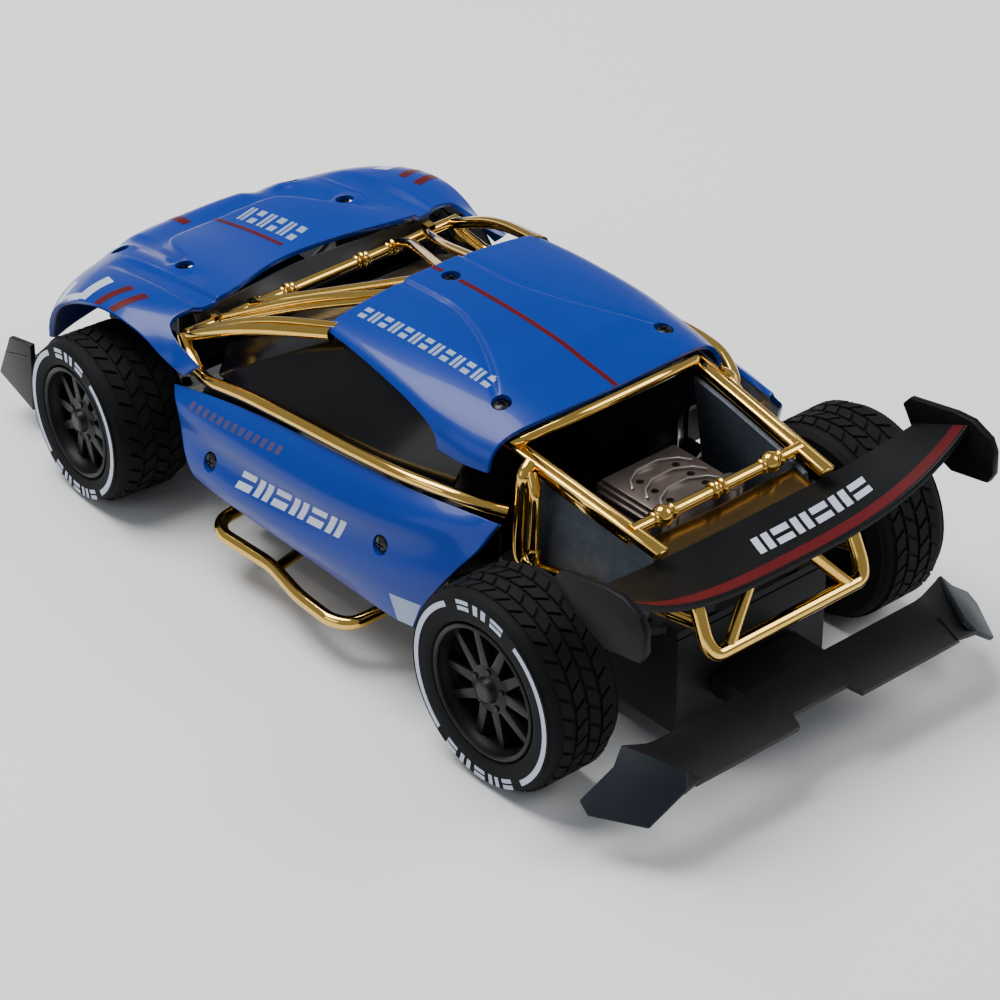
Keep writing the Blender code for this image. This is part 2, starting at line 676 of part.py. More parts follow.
def make_roof():
    rows = [
        [(0, -13.7, 77.1), (9.5, -13.4, 77.5), (20, -13.5, 76.6), (29, -13.3, 75.6), (34.6, -13, 74.6),
         (35.8, -12.8, 73.2)],
        [(0, 0, 78.0), (10, 0, 78.2), (20, 0, 77.6), (29, 0, 76.6), (35.8, 0, 75), (37.2, 0, 73.4)],
        [(0, 15, 78.2), (13, 15, 78.4), (22, 15, 77.6), (30, 15, 76.5), (37, 15, 74.4), (38.6, 15, 72.2)],
        [(0, 28, 77.8), (16, 28, 77.8), (24, 28, 77), (31, 28, 75.8), (38, 27, 73.2), (39.8, 27, 70.6)],
        [(0, 39, 77), (19, 39, 76.9), (26, 39, 76), (32.5, 38, 74.6), (38.5, 36.5, 71.4), (40.8, 36, 68)],
        [(0, 49, 75.8), (21, 48.5, 75.8), (27, 48, 74.9), (32.5, 47, 73.3), (37.5, 46, 70.5),
         (40.2, 46, 67.5)],
        [(0, 57, 74.6), (15, 56.5, 74.5), (25, 55.5, 74), (31, 54, 72.8), (35.5, 53, 70.6),
         (38.4, 53.2, 67.5)],
    ]
    blade = [[rows[4][5], (41.5, 37, 64)], [rows[5][5], (41.2, 46, 63.6)], [rows[6][5], (39.3, 53.5, 64)]]
    roof = sheet("roof_panel", [rows, blade], SHELL, (0, 0, 1), BLUE, mirrored=True)
    for number, (x, y, z) in enumerate(ROOF_SCREWS):
        cut(roof, rod(f"roof_hole_{number}", (x, y, z - 5), (x, y, z + 5), SCREW_HEAD + GAP, BLUE,
                      sides=10))
        screw(f"roof_screw_{number + 1}", (x, y, z - 0.6), (0, 0, -1), 4.4)
    return roof


def side_rows():
    """The left side panel from its top edge, over the door bulge and groove, to the sill."""
    return [
        [(54, -54, 45.4), (52.6, -41, 47.6), (52.2, -19, 51.5), (52.2, 12, 54.8), (51, 38.5, 56.8),
         (47.4, 56.7, 57.6), (46, 65.5, 58)],
        [(56.2, -51.5, 43.5), (56.5, -40, 46), (57, -19, 48.5), (57.5, 12, 50.5), (55.8, 38, 53),
         (51.5, 56, 55.2), (48.2, 64, 54.6)],
        [(57.6, -47.8, 40), (59, -38, 41), (60.5, -19, 42.5), (61, 12, 44.8), (58.6, 36, 47.5),
         (54, 54, 50.5), (51.6, 64, 51.6)],
        [(57, -48, 36.3), (57.4, -38, 36.4), (57.8, -19, 37), (58.2, 12, 39.8), (58.2, 33, 43),
         (56.5, 50, 45), (55.2, 59.8, 46)],
        [(59.3, -44, 31), (60.6, -36, 31.6), (61.5, -19, 32.2), (61.8, 12, 33.4), (61.4, 33, 36.4),
         (59.6, 47, 38.4), (58, 56, 39.2)],
        [(60, -41, 28), (61, -33, 28.4), (61.6, -15, 28.8), (61.8, 12, 29.2), (61.5, 33, 30.6),
         (60.5, 43, 31.6), (59.6, 52, 33)],
        [(59.6, -39.5, 26), (60, -30, 25.2), (60, -12, 25), (60, 12, 24.8), (60, 33, 24.4),
         (60, 42.5, 24.4), (60, 49.5, 25.7)],
    ]


def make_side_panels():
    for side_name, side in both_sides():
        rows = [mirrored_points(row, side) for row in side_rows()]
        panel = sheet("side_panel_" + side_name, [rows], PANEL, (side, 0, 0), BLUE)
        for number, (x, y, z) in enumerate(SIDE_SCREWS):
            tag = f"{side_name}_{number + 1}"
            cut(panel, rod("panel_hole_" + tag, (side * (x - 9), y, z), (side * (x + 9), y, z),
                           SCREW_HEAD + GAP, BLUE, sides=10))
            screw("side_screw_" + tag, (side * (x - 0.1), y, z), (-side, 0, 0))


def make_cabin():
    """The black cabin moulding: its upper half leans in as the windows and ends in a flange under the roof."""
    levels = [
        [(0, -48, 32.4), (30, -48, 32.4), (42, -40, 32.4), (42, 0, 32.4), (42, 38, 32.4), (30, 48, 32.4),
         (0, 48, 32.4)],
        [(0, -48, 46), (30, -48, 46), (42, -40, 46), (42, 0, 46.6), (42, 38, 47), (30, 48, 47),
         (0, 48, 47)],
        [(0, -55, 50.5), (36, -54.5, 50.5), (46, -46, 48.6), (49.2, -15, 51.4), (48.6, 20, 54.6),
         (42.4, 44, 56.4), (0, 49.5, 56)],
        [(0, -13, 73.4), (27, -12.5, 72.2), (33.2, -10.5, 71), (35.2, 8, 71.8), (36.4, 27, 69.4),
         (36.0, 45, 67.0), (0, 51.5, 68.6)],
        [(0, -9, 73.2), (25, -8.5, 72.0), (30, -6.5, 71.4), (32, 8, 71.8), (33, 26, 69.8),
         (31.5, 40, 68.2), (0, 45.5, 69.6)],
    ]
    cabin = sheet("cabin_shell", [levels], 1.4, (0, 0, 1), GLOSS_BLACK, mirrored=True, levels=0)
    return cabin


def make_cowl():
    """The vent strip between the hood's rear edge and the windscreen."""
    rows = [
        [(0, -71.0, 54.8), (24, -62.6, 58.4), (40, -62.8, 57.0)],
        [(0, -63.5, 53.2), (24, -61.8, 53.4), (40, -61.4, 53.2)],
        [(0, -60.8, 51.2), (24, -60.8, 51.0), (40, -60.6, 51.0)],
    ]
    return sheet("cowl_vent", [rows], 1.2, (0, 0.3, 1), BLACK, mirrored=True, levels=1)


# ---------------------------------------------------------------- gold cage

CROSSBAR_Y = -58.5
CROSSBAR_Z = 56.2


def make_cage_front():
    """Crossbar at the foot of the windscreen, with three struts on each side up to the roof."""
    bar_z = CROSSBAR_Z - 0.8
    bar = tube("cage_front", [(-46.5, CROSSBAR_Y, bar_z), (46.5, CROSSBAR_Y, bar_z)], 1.4, GOLD)
    for x in (-23.4, -12.6, 12.6, 23.4):
        join(bar, rod(f"collar_{x}", (x - 1.3, CROSSBAR_Y, bar_z), (x + 1.3, CROSSBAR_Y, bar_z), 2.1,
                      GOLD, sides=10))
    for side_name, side in both_sides():
        outer = [(45.6, -59.6, 54.4), (41.2, -36, 66.6), (36.0, -14.6, 73.8)]
        middle = [(35.2, -58.4, 55.8), (22.5, -38, 65.2), (14.6, -16.4, 74.5)]
        inner = [(24.7, CROSSBAR_Y, 56.2), (23.0, -50, 60.2), (3.4, -16.2, 74.6)]
        join(bar, tube("pillar_" + side_name, mirrored_points(outer, side), 1.7, GOLD))
        join(bar, tube("middle_strut_" + side_name, mirrored_points(middle, side), 1.3, GOLD))
        join(bar, tube("inner_strut_" + side_name, mirrored_points(inner, side), 1.4, GOLD))
    return bar


def make_waist_rails():
    for side_name, side in both_sides():
        path = [(46.8, -58.4, 50.4), (48.8, -50, 48.2), (50.6, -43, 49.4), (51, -28, 52.7),
                (51.2, -6, 55.2),
                (51.2, 14, 57.0), (50.4, 33, 58.6), (48.2, 45, 59.2), (43.4, 54.6, 57.4), (37.9, 58.9,
                    54.9)]
        tube("waist_rail_" + side_name, mirrored_points(path, side), 1.5, GOLD)


FRAME_TOP = (30.6, 51.2, 68.6)
FRAME_END = (27.5, 104.0, 60.6)


def on_frame(y):
    """A point on the left side rail of the rear frame."""
    share = (y - FRAME_TOP[1]) / (FRAME_END[1] - FRAME_TOP[1])
    return Vector(FRAME_TOP).lerp(Vector(FRAME_END), share)


def make_cage_rear():
    """The open frame over the engine bay."""
    frame = tube("cage_rear", [(-30.6, 52.6, 68.6), (-15, 57.4, 71.4), (15, 57.4, 71.4),
                               (30.6, 52.6, 68.6)], 1.3, GOLD)
    for side_name, side in both_sides():
        rail = tube("frame_rail_" + side_name, mirrored_points([FRAME_TOP, on_frame(106.0)], side), 1.6,
                    GOLD)
        join(frame, rail)
    bar = on_frame(93.0)
    join(frame, rod("frame_bar", (-bar.x, bar.y, bar.z), (bar.x, bar.y, bar.z), 1.5, GOLD, sides=10))
    for x in (-17.9, 17.9):
        join(frame, ball(f"frame_ball_{x}", (x, bar.y, bar.z), 2.7, GOLD))
    join(frame, rod("frame_collar", (-1.4, bar.y, bar.z), (1.4, bar.y, bar.z), 2.1, GOLD, sides=10))
    return frame


def make_cage_hoops():
    for side_name, side in both_sides():
        outer = [(34.4, 61.0, 66.2), (35.2, 60.4, 46), (35.2, 61, 41.2), (34.6, 66, 40.6), (33.4, 86, 44.2)]
        inner = [(34.2, 60.9, 63.8), (34.6, 65.4, 62), (34.8, 65.4, 44), (34.6, 66, 41)]
        hoop = tube("cage_hoop_" + side_name, mirrored_points(outer, side), 1.7, GOLD, bend=3.5)
        join(hoop, tube("hoop_inner_" + side_name, mirrored_points(inner, side), 1.5, GOLD, bend=3.0))


def make_rear_hoop():
    """The tubular bumper behind the engine bay."""
    path = [(25.6, 108.8, 52.2), (25.6, 113.4, 50.6), (26, 117.4, 42), (24.6, 119.4, 38.4),
            (-24.6, 119.4, 38.4),
            (-26, 117.4, 42), (-25.6, 113.4, 50.6), (-25.6, 108.8, 52.2)]
    hoop = tube("rear_bumper_hoop", path, 2.0, GOLD, bend=4.0)
    for side_name, side in both_sides():
        join(hoop, rod("hoop_brace_" + side_name, (side * 20.5, 119.4, 38.6), (side * 9.9, 115.2, 50.6),
                       1.5, GOLD, sides=8))
        join(hoop, rod("hoop_stay_" + side_name, (side * 25.4, 99.6, 41.2), (side * 25.8, 115.2, 45.6),
                       1.6, GOLD, sides=8))
    return hoop


def make_side_bars():
    for side_name, side in both_sides():
        outer = [(44.8, -33.5, 15.2), (55.4, -34.4, 13.4), (59.0, -29.6, 13), (58.2, -9.6, 13),
                 (61.6, 6, 13),
                 (62.2, 19.6, 13), (59.4, 24.6, 13), (44.8, 27.4, 15.2)]
        bar = tube("side_bar_" + side_name, mirrored_points(outer, side), 1.9, GOLD, bend=3.0)
        join(bar, tube("side_bar_leg_" + side_name,
                       mirrored_points([(44.8, -8.6, 15), (58.4, -7.4, 13)], side), 1.5, GOLD))


# ---------------------------------------------------------------- rear end

def make_rear_deck():
    half = [(24, 52.4), (36, 54), (36, 92), (31, 100), (25, 103), (25, 106.8)]
    outline = half + [(-x, y) for x, y in reversed(half)]
    deck = prism("rear_deck", outline, "Z", TAIL_TOP + GAP, 38.3, BLACK)
    for side_name, side in both_sides():
        inner, outer = sorted((side * 12.0, side * 16.0))
        join(deck, box("deck_prop_" + side_name, (inner, 99.5, 37), (outer, 106.0, 49.6), BLACK))
    return deck


def make_quarter_panels():
    """Flat textured panels between the rear cage tubes."""
    for side_name, side in both_sides():
        top = [(28.6, 55.5, 65.6), (28.2, 67, 64.0), (27.0, 90, 60.0), (25.9, 98.4, 58.6)]
        low = [(32.6, 55.5, 38.6), (32.6, 67, 38.6), (31, 90, 38.6), (26.6, 98.4, 38.6)]
        rows = [mirrored_points(top, side), mirrored_points(low, side)]
        sheet("quarter_panel_" + side_name, [rows], 1.4, (side, 0, 0), SLATE, levels=0)


def make_engine():
    """The dummy engine: block, two round heads and three bent louvres."""
    block = box("engine_block", (-13, 64, 38.6), (13, 86, 56.5), ENGINE)
    for x in (-11, 11):
        join(block, rod(f"engine_head_{x}", (x, 86.5, 38.7), (x, 86.5, 57.6), 3.6, ENGINE, sides=12))
    for number in range(3):
        y = 68.0 + 5.4 * number
        half = [(3.4, y), (9.6, y + 4.0), (9.6, y + 5.4), (3.4, y + 1.4)]
        outline = [half[0], half[1], half[2], half[3], (-3.4, y + 1.4), (-9.6, y + 5.4), (-9.6, y + 4.0),
                   (-3.4, y)]
        join(block, prism(f"louvre_{number}", outline, "Z", 56.0, 58.2, ENGINE))
    return block


SPOILER_TIP_X = 57.0
SPOILER_CHORD = ((100.6, 56.6, 6.3), (106.5, 55.6, 8.5), (114.0, 55.2, 12.3), (121.8, 56.0, 15.0))
SPOILER_SWEEP = 3.5


def spoiler_row(x):
    """The blade is level in the middle; towards its tips it sweeps up, more at the back than at the front."""
    share = (abs(x) / SPOILER_TIP_X) ** 3.2
    row = [(x, y, z + rise * share) for y, z, rise in SPOILER_CHORD]
    front = row[0]
    return [(front[0], front[1] + SPOILER_SWEEP * share, front[2])] + row[1:]


def make_spoiler():
    rows = [spoiler_row(x) for x in (0, 14, 26, 36, 44, 50, 54, 57)]
    blade = sheet("spoiler", [rows], 1.6, (0, 0, 1), BLACK, mirrored=True)
    outline = [(99.8, 66.6), (102, 69.2), (117, 72.1), (123, 72.4), (129, 69.9), (130.8, 66.7), (131, 60.4),
               (129.3, 57.3), (117.3, 55.1), (108.4, 58.8), (103, 61.6)]
    for side_name, side in both_sides():
        low, high = sorted((side * 56.6, side * 58.8))
        join(blade, prism("end_plate_" + side_name, outline, "X", low, high, BLACK))
        inner, outer = sorted((side * 12.0, side * 16.0))
        join(blade, box("spoiler_foot_" + side_name, (inner, 101.5, 50), (outer, 110, 54.8), BLACK))
    return blade


FIN_OUTLINE = ((54.0, 118.8, 26.1), (57.1, 119.3, 21.9), (65.1, 116.6, 12.8), (65.5, 120.2, 10.5),
               (59.0, 133.9, 12.6), (50.0, 135.2, 23.4), (48.5, 135.0, 25.7))


def make_lower_wing():
    """The low rear wing: turned-up ends with slanted fins, and a tongue into the chassis tail."""
    rows = []
    for x in (0, 12, 24, 36, 44):
        rows.append([(x, 119.5, 22.8), (x, 127, 21.4), (x, 135.2, 19.6)])
    rows.append([(46.7, 119.5, 23.3), (46.0, 127.5, 22.4), (45.4, 135.2, 21.6)])
    rows.append([(54.0, 118.8, 26.1), (51.3, 126.9, 25.9), (48.5, 135.0, 25.7)])
    wing = sheet("lower_rear_wing", [rows], 1.6, (0.2, 0, 1), BLACK, mirrored=True, levels=0)
    for side_name, side in both_sides():
        join(wing, plate("wing_fin_" + side_name, mirrored_points(FIN_OUTLINE, side), 1.6, (-side, 0, 0),
                         BLACK))
    join(wing, box("wing_tongue", (-14, 107.3, 15.5), (14, 124, 21.8), BLACK))
    cut(wing, box("wing_notch", (-9.3, 131.2, 10), (9.3, 140, 30), BLACK))
    return wing


def make_front_bumper():
    """The splitter under the nose, with upright side plates and a tongue into the chassis nose."""
    rows = []
    for x, lift in ((0, 0.0), (15, 0.0), (30, 0.6), (42, 2.4), (50, 6.0), (54.5, 11.0)):
        rows.append([(x, -134.9 + lift * 0.3, 10.4 + lift), (x, -128, 11.6 + lift), (x, -121, 13.6 + lift)])
    splitter = sheet("front_bumper", [rows], 1.8, (0, 0, 1), BLACK, mirrored=True, levels=0)
    outline = [(-129, 26), (-118.6, 28), (-119.6, 6.4), (-135.2, 12)]
    for side_name, side in both_sides():
        low, high = sorted((side * 53.6, side * 55.4))
        join(splitter, prism("front_plate_" + side_name, outline, "X", low, high, BLACK))
    join(splitter, box("bumper_tongue", (-20, -126, 9.4), (20, -113.4, 22.6), BLACK))
    return splitter


def build():
    make_chassis()
    make_battery()
    screw("battery_screw", (0, 10, FLOOR_LOW + 0.4), (0, 0, 1))
    make_deck()
    make_front_bridge()
    make_bushes()
    make_drive()
    make_steering()
    make_electronics()
    make_hood()
    make_roof()
    make_side_panels()
    make_cabin()
    make_cowl()
    make_cage_front()
    make_waist_rails()
    make_cage_rear()
    make_cage_hoops()
    make_rear_hoop()
    make_side_bars()
    make_rear_deck()
    make_quarter_panels()
    make_engine()
    make_spoiler()
    make_lower_wing()
    make_front_bumper()


build()
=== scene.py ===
import math

import bmesh
import bpy
from mathutils import Matrix, Vector
from mathutils.bvhtree import BVHTree


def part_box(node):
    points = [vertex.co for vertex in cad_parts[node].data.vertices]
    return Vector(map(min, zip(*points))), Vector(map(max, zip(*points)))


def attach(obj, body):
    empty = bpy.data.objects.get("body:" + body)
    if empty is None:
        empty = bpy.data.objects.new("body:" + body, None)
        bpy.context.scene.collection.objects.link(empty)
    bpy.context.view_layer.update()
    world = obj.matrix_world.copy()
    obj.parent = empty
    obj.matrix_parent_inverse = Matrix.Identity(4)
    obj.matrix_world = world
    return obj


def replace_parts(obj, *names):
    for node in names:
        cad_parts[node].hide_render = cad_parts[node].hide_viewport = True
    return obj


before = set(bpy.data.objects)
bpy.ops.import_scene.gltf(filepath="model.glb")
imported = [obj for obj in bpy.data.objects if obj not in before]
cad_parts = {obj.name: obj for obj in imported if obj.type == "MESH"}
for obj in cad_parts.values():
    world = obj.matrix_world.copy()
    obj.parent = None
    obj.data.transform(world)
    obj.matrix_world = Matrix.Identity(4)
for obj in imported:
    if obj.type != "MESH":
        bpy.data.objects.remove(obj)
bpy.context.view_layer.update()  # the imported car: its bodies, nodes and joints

mm = 0.001
sides = (("left", 1), ("right", -1))  # the car's left is +X

# ---- finishes


def makeFinish(name, look):
    # colour drifts between two shades, roughness drifts with it, and a fine grain lifts the surface
    finish = bpy.data.materials.new(name)
    finish.use_nodes = True
    nodes = finish.node_tree.nodes
    links = finish.node_tree.links
    shader = nodes["Principled BSDF"]
    shader.inputs["Metallic"].default_value = look.get("metallic", 0.0)
    shader.inputs["Coat Weight"].default_value = look.get("coat", 0.0)
    shader.inputs["Coat Roughness"].default_value = look.get("coatRoughness", 0.05)
    shader.inputs["Specular IOR Level"].default_value = look.get("specular", 0.5)
    place = nodes.new("ShaderNodeTexCoord")
    drift = nodes.new("ShaderNodeTexNoise")
    drift.inputs["Scale"].default_value = look.get("driftScale", 60.0)
    drift.inputs["Detail"].default_value = 4.0
    links.new(place.outputs["Object"], drift.inputs["Vector"])
    shades = nodes.new("ShaderNodeValToRGB")
    shades.color_ramp.elements[0].position = 0.3
    shades.color_ramp.elements[1].position = 0.7
    shades.color_ramp.elements[0].color = (*look["colour"], 1.0)
    shades.color_ramp.elements[1].color = (*look["shade"], 1.0)
    links.new(drift.outputs["Fac"], shades.inputs["Fac"])
    links.new(shades.outputs["Color"], shader.inputs["Base Color"])
    polish = nodes.new("ShaderNodeMapRange")
    low, high = look["roughness"]
    polish.inputs["To Min"].default_value = low
    polish.inputs["To Max"].default_value = high
    links.new(drift.outputs["Fac"], polish.inputs["Value"])
    links.new(polish.outputs["Result"], shader.inputs["Roughness"])
    if look.get("cells"):
        grain = nodes.new("ShaderNodeTexVoronoi")
        height = grain.outputs["Distance"]
    else:
        grain = nodes.new("ShaderNodeTexNoise")
        grain.inputs["Detail"].default_value = 3.0
        height = grain.outputs["Fac"]
    grain.inputs["Scale"].default_value = look.get("grainScale", 1500.0)
    links.new(place.outputs["Object"], grain.inputs["Vector"])
    lift = nodes.new("ShaderNodeBump")
    lift.inputs["Strength"].default_value = look.get("grain", 0.1)
    lift.inputs["Distance"].default_value = look.get("grainDepth", 0.0001)
    links.new(height, lift.inputs["Height"])
    links.new(lift.outputs["Normal"], shader.inputs["Normal"])
    return finish


def finishOf(colour, shade, roughness, **others):
    return dict(colour=colour, shade=shade, roughness=roughness, **others)


finishLooks = {
    "bluePaint": finishOf((0.0, 0.024, 0.235), (0.0, 0.028, 0.26), (0.26, 0.34), coat=0.15, specular=0.22,
                          driftScale=25.0, grainScale=700.0, grain=0.05, grainDepth=0.00012),
    "goldPlating": finishOf((0.86, 0.55, 0.13), (0.80, 0.48, 0.10), (0.05, 0.14), metallic=1.0,
                            driftScale=120.0, grainScale=350.0, grain=0.10, grainDepth=0.0002),
    "blackMoulding": finishOf((0.005, 0.005, 0.006), (0.008, 0.008, 0.009), (0.36, 0.48), specular=0.35,
                              grainScale=1800.0, grain=0.25),
    "glossBlack": finishOf((0.003, 0.003, 0.0035), (0.005, 0.0045, 0.0045), (0.14, 0.22), coat=0.0,
                           specular=0.3, driftScale=30.0, grainScale=400.0, grain=0.03),
    "smokedScreen": finishOf((0.022, 0.017, 0.014), (0.032, 0.025, 0.020), (0.16, 0.24), driftScale=30.0,
                             grainScale=600.0, grain=0.04),
    "spoilerBlack": finishOf((0.003, 0.003, 0.0035), (0.005, 0.005, 0.0055), (0.38, 0.48), specular=0.12,
                             grainScale=1400.0, grain=0.30, driftScale=80.0),
    "wingBlack": finishOf((0.007, 0.0065, 0.0075), (0.010, 0.008, 0.009), (0.42, 0.55), specular=0.35,
                          grainScale=1600.0, grain=0.4),
    "finSlate": finishOf((0.012, 0.017, 0.023), (0.009, 0.013, 0.018), (0.45, 0.58), specular=0.2,
                         grainScale=1600.0, grain=0.4),
    # the quarter panels are black; this slate blue colour is painted sheen of light grazing their sides, and
    # the grain is real
    "paintedSheenGrain": finishOf((0.070, 0.086, 0.112), (0.052, 0.064, 0.084), (0.45, 0.6), cells=True,
                           driftScale=300.0, grainScale=2200.0, grain=0.5, grainDepth=0.0002),
    "tyreRubber": finishOf((0.005, 0.005, 0.0055), (0.008, 0.008, 0.0085), (0.62, 0.78), driftScale=140.0,
                           grainScale=2200.0, grain=0.4, specular=0.12),
    "rimBlack": finishOf((0.005, 0.005, 0.0055), (0.008, 0.008, 0.0085), (0.32, 0.44), specular=0.22,
                         grainScale=1500.0, grain=0.2),
    "gunmetal": finishOf((0.15, 0.118, 0.105), (0.10, 0.08, 0.072), (0.26, 0.40), metallic=0.75,
                         driftScale=160.0, grainScale=1200.0, grain=0.3),
    # the louvres are gunmetal like the block; this pale metal is painted highlight for the bright glints
    # along their edges
    "paintedHighlightMetal": finishOf((0.52, 0.48, 0.46), (0.42, 0.38, 0.36), (0.16, 0.28), metallic=0.9,
                            driftScale=160.0, grainScale=1200.0, grain=0.2),
    "smokedGold": finishOf((0.14, 0.085, 0.025), (0.10, 0.060, 0.018), (0.14, 0.24), metallic=0.8,
                           driftScale=40.0, grainScale=500.0, grain=0.08),
    "brightSteel": finishOf((0.60, 0.60, 0.61), (0.48, 0.48, 0.50), (0.22, 0.34), metallic=1.0,
                            grainScale=2500.0, grain=0.2),
    "blackZinc": finishOf((0.020, 0.020, 0.022), (0.034, 0.032, 0.030), (0.25, 0.38), metallic=0.8,
                          grainScale=2500.0, grain=0.2),
    "whiteNylon": finishOf((0.76, 0.75, 0.70), (0.70, 0.68, 0.62), (0.38, 0.50), grainScale=1500.0,
                           grain=0.15),
    "pinionBrass": finishOf((0.78, 0.56, 0.22), (0.66, 0.45, 0.16), (0.22, 0.36), metallic=1.0,
                            grainScale=2500.0, grain=0.2),
    "circuitGreen": finishOf((0.012, 0.13, 0.045), (0.02, 0.20, 0.07), (0.32, 0.45), driftScale=500.0,
                             grainScale=900.0, grain=0.4),
    "batterySleeve": finishOf((0.03, 0.09, 0.24), (0.04, 0.12, 0.30), (0.22, 0.32), coat=0.3,
                              grainScale=300.0, grain=0.15),
    "whitePrint": finishOf((0.42, 0.48, 0.60), (0.50, 0.55, 0.66), (0.32, 0.42), grainScale=1500.0,
                           grain=0.1),
    "greyPrint": finishOf((0.22, 0.30, 0.44), (0.28, 0.36, 0.50), (0.32, 0.42), grainScale=1500.0,
                          grain=0.1),
    "redPrint": finishOf((0.075, 0.001, 0.003), (0.095, 0.0015, 0.004), (0.34, 0.44), specular=0.2,
                         grainScale=1500.0, grain=0.1),
    "darkPrint": finishOf((0.035, 0.030, 0.10), (0.05, 0.04, 0.13), (0.34, 0.44), grainScale=1500.0,
                          grain=0.1),
    "palePaper": finishOf((0.90, 0.90, 0.90), (0.88, 0.88, 0.88), (0.75, 0.85), driftScale=2.0,
                          grainScale=60.0, grain=0.02),
}
finishes = {name: makeFinish(name, look) for name, look in finishLooks.items()}
print("finishes ready:", len(finishes))

# ---- ways of making a piece


def at(x, y, z):
    return Vector((x * mm, y * mm, z * mm))


def sided(points, side):
    return [(side * x, y, z) for x, y, z in points]


def addPiece(name, mesh, finish, body="chassis", place=None, angle=32.0):
    piece = bpy.data.objects.new(name, mesh)
    bpy.context.scene.collection.objects.link(piece)
    mesh.materials.clear()
    mesh.materials.append(finishes[finish])
    mesh.shade_smooth()
    mesh.set_sharp_from_angle(angle=math.radians(angle))
    if place is not None:
        piece.matrix_world = place
    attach(piece, body)
    return piece


def meshFrom(bm, name):
    bmesh.ops.recalc_face_normals(bm, faces=bm.faces)
    mesh = bpy.data.meshes.new(name)
    bm.to_mesh(mesh)
    bm.free()
    return mesh


def bakeModifiers(mesh, addModifiers):
    # runs modifiers on a loose mesh and gives back the finished mesh
    holder = bpy.data.objects.new("holder", mesh)
    bpy.context.scene.collection.objects.link(holder)
    addModifiers(holder)
    bpy.context.view_layer.update()
    graph = bpy.context.evaluated_depsgraph_get()
    done = bpy.data.meshes.new_from_object(holder.evaluated_get(graph))
    bpy.data.objects.remove(holder, do_unlink=True)
    return done


def addMirror(holder):
    mirror = holder.modifiers.new("mirror", "MIRROR")
    mirror.use_clip = True
    mirror.merge_threshold = 0.00001


def addBevel(holder, width, angle, segments=2):
    edge = holder.modifiers.new("edge", "BEVEL")
    edge.width = width * mm
    edge.segments = segments
    edge.limit_method = "ANGLE"
    edge.angle_limit = math.radians(angle)


def roundEdges(mesh, width, angle=40.0, segments=2):
    return bakeModifiers(mesh, lambda holder: addBevel(holder, width, angle, segments))


def cutAway(mesh, cutterMesh):
    cutter = bpy.data.objects.new("cutter", cutterMesh)
    bpy.context.scene.collection.objects.link(cutter)

    def add(holder):
        change = holder.modifiers.new("change", "BOOLEAN")
        change.operation = "DIFFERENCE"
        change.solver = "EXACT"
        change.object = cutter
    done = bakeModifiers(mesh, add)
    bpy.data.objects.remove(cutter, do_unlink=True)
    return done


def joinLoops(bm, first, second):
    for step in range(len(first)):
        after = (step + 1) % len(first)
        bm.faces.new((first[step], second[step], second[after], first[after]))


def addSlab(bm, first, second):
    # two closed loops of points become one solid
    bm.faces.new(first)
    bm.faces.new(list(reversed(second)))
    joinLoops(bm, first, second)


tubeLook = dict(sides=14, bendSteps=6, longestTrim=0.48)


def addTube(bm, points, radius, bend):
    # a round tube along straight runs joined by smooth bends
    knots = [Vector(point) for point in points]
    path = [knots[0]]
    for before, corner, after in zip(knots, knots[1:], knots[2:]):
        back, ahead = before - corner, after - corner
        trim = min(bend, *(run.length * tubeLook["longestTrim"] for run in (back, ahead)))
        start, end = corner + back.normalized() * trim, corner + ahead.normalized() * trim
        for step in range(tubeLook["bendSteps"] + 1):
            share = step / tubeLook["bendSteps"]
            path.append(start.lerp(corner, share).lerp(corner.lerp(end, share), share))
    path.append(knots[-1])
    rings = []
    across = None
    for number, point in enumerate(path):
        along = (path[min(number + 1, len(path) - 1)] - path[max(number - 1, 0)]).normalized()
        if across is None:
            across = along.orthogonal().normalized()
        across = (across - along * across.dot(along)).normalized()
        other = along.cross(across)
        turn = []
        for step in range(tubeLook["sides"]):
            angle = 2 * math.pi * step / tubeLook["sides"]
            spot = point + (across * math.cos(angle) + other * math.sin(angle)) * radius
            turn.append(bm.verts.new(spot * mm))
        rings.append(turn)
    for first, second in zip(rings, rings[1:]):
        joinLoops(bm, second, first)
    bm.faces.new(list(reversed(rings[0])))
    bm.faces.new(rings[-1])


def addBlock(bm, low, high):
    corners = bmesh.ops.create_cube(bm, size=1.0)["verts"]
    size = [(b - a) * mm for a, b in zip(low, high)]
    middle = [(a + b) / 2 * mm for a, b in zip(low, high)]
    for vert in corners:
        vert.co = Vector([c * s + m for c, s, m in zip(vert.co, size, middle)])


def addPrism(bm, outline, axis, low, high):
    # a flat outline across one axis, made thick along it
    def corner(u, v, w):
        return {"X": (w, u, v), "Y": (u, w, v), "Z": (u, v, w)}[axis]
    bottom = [bm.verts.new(Vector(corner(u, v, low)) * mm) for u, v in outline]
    top = [bm.verts.new(Vector(corner(u, v, high)) * mm) for u, v in outline]
    addSlab(bm, bottom, top)


def addLathe(bm, profile, steps, place=None, closed=True):
    # a profile of (radius, height) turned round +Z
    rings = []
    for step in range(steps):
        angle = 2 * math.pi * step / steps
        ring = []
        for radius, height in profile:
            spot = Vector((radius * math.cos(angle), radius * math.sin(angle), height)) * mm
            ring.append(bm.verts.new(place @ spot if place is not None else spot))
        rings.append(ring)
    count = len(profile) if closed else len(profile) - 1
    for step in range(steps):
        first, second = rings[step], rings[(step + 1) % steps]
        for number in range(count):
            after = (number + 1) % len(profile)
            bm.faces.new((first[number], second[number], second[after], first[after]))
    bmesh.ops.remove_doubles(bm, verts=[v for ring in rings for v in ring], dist=1e-7)


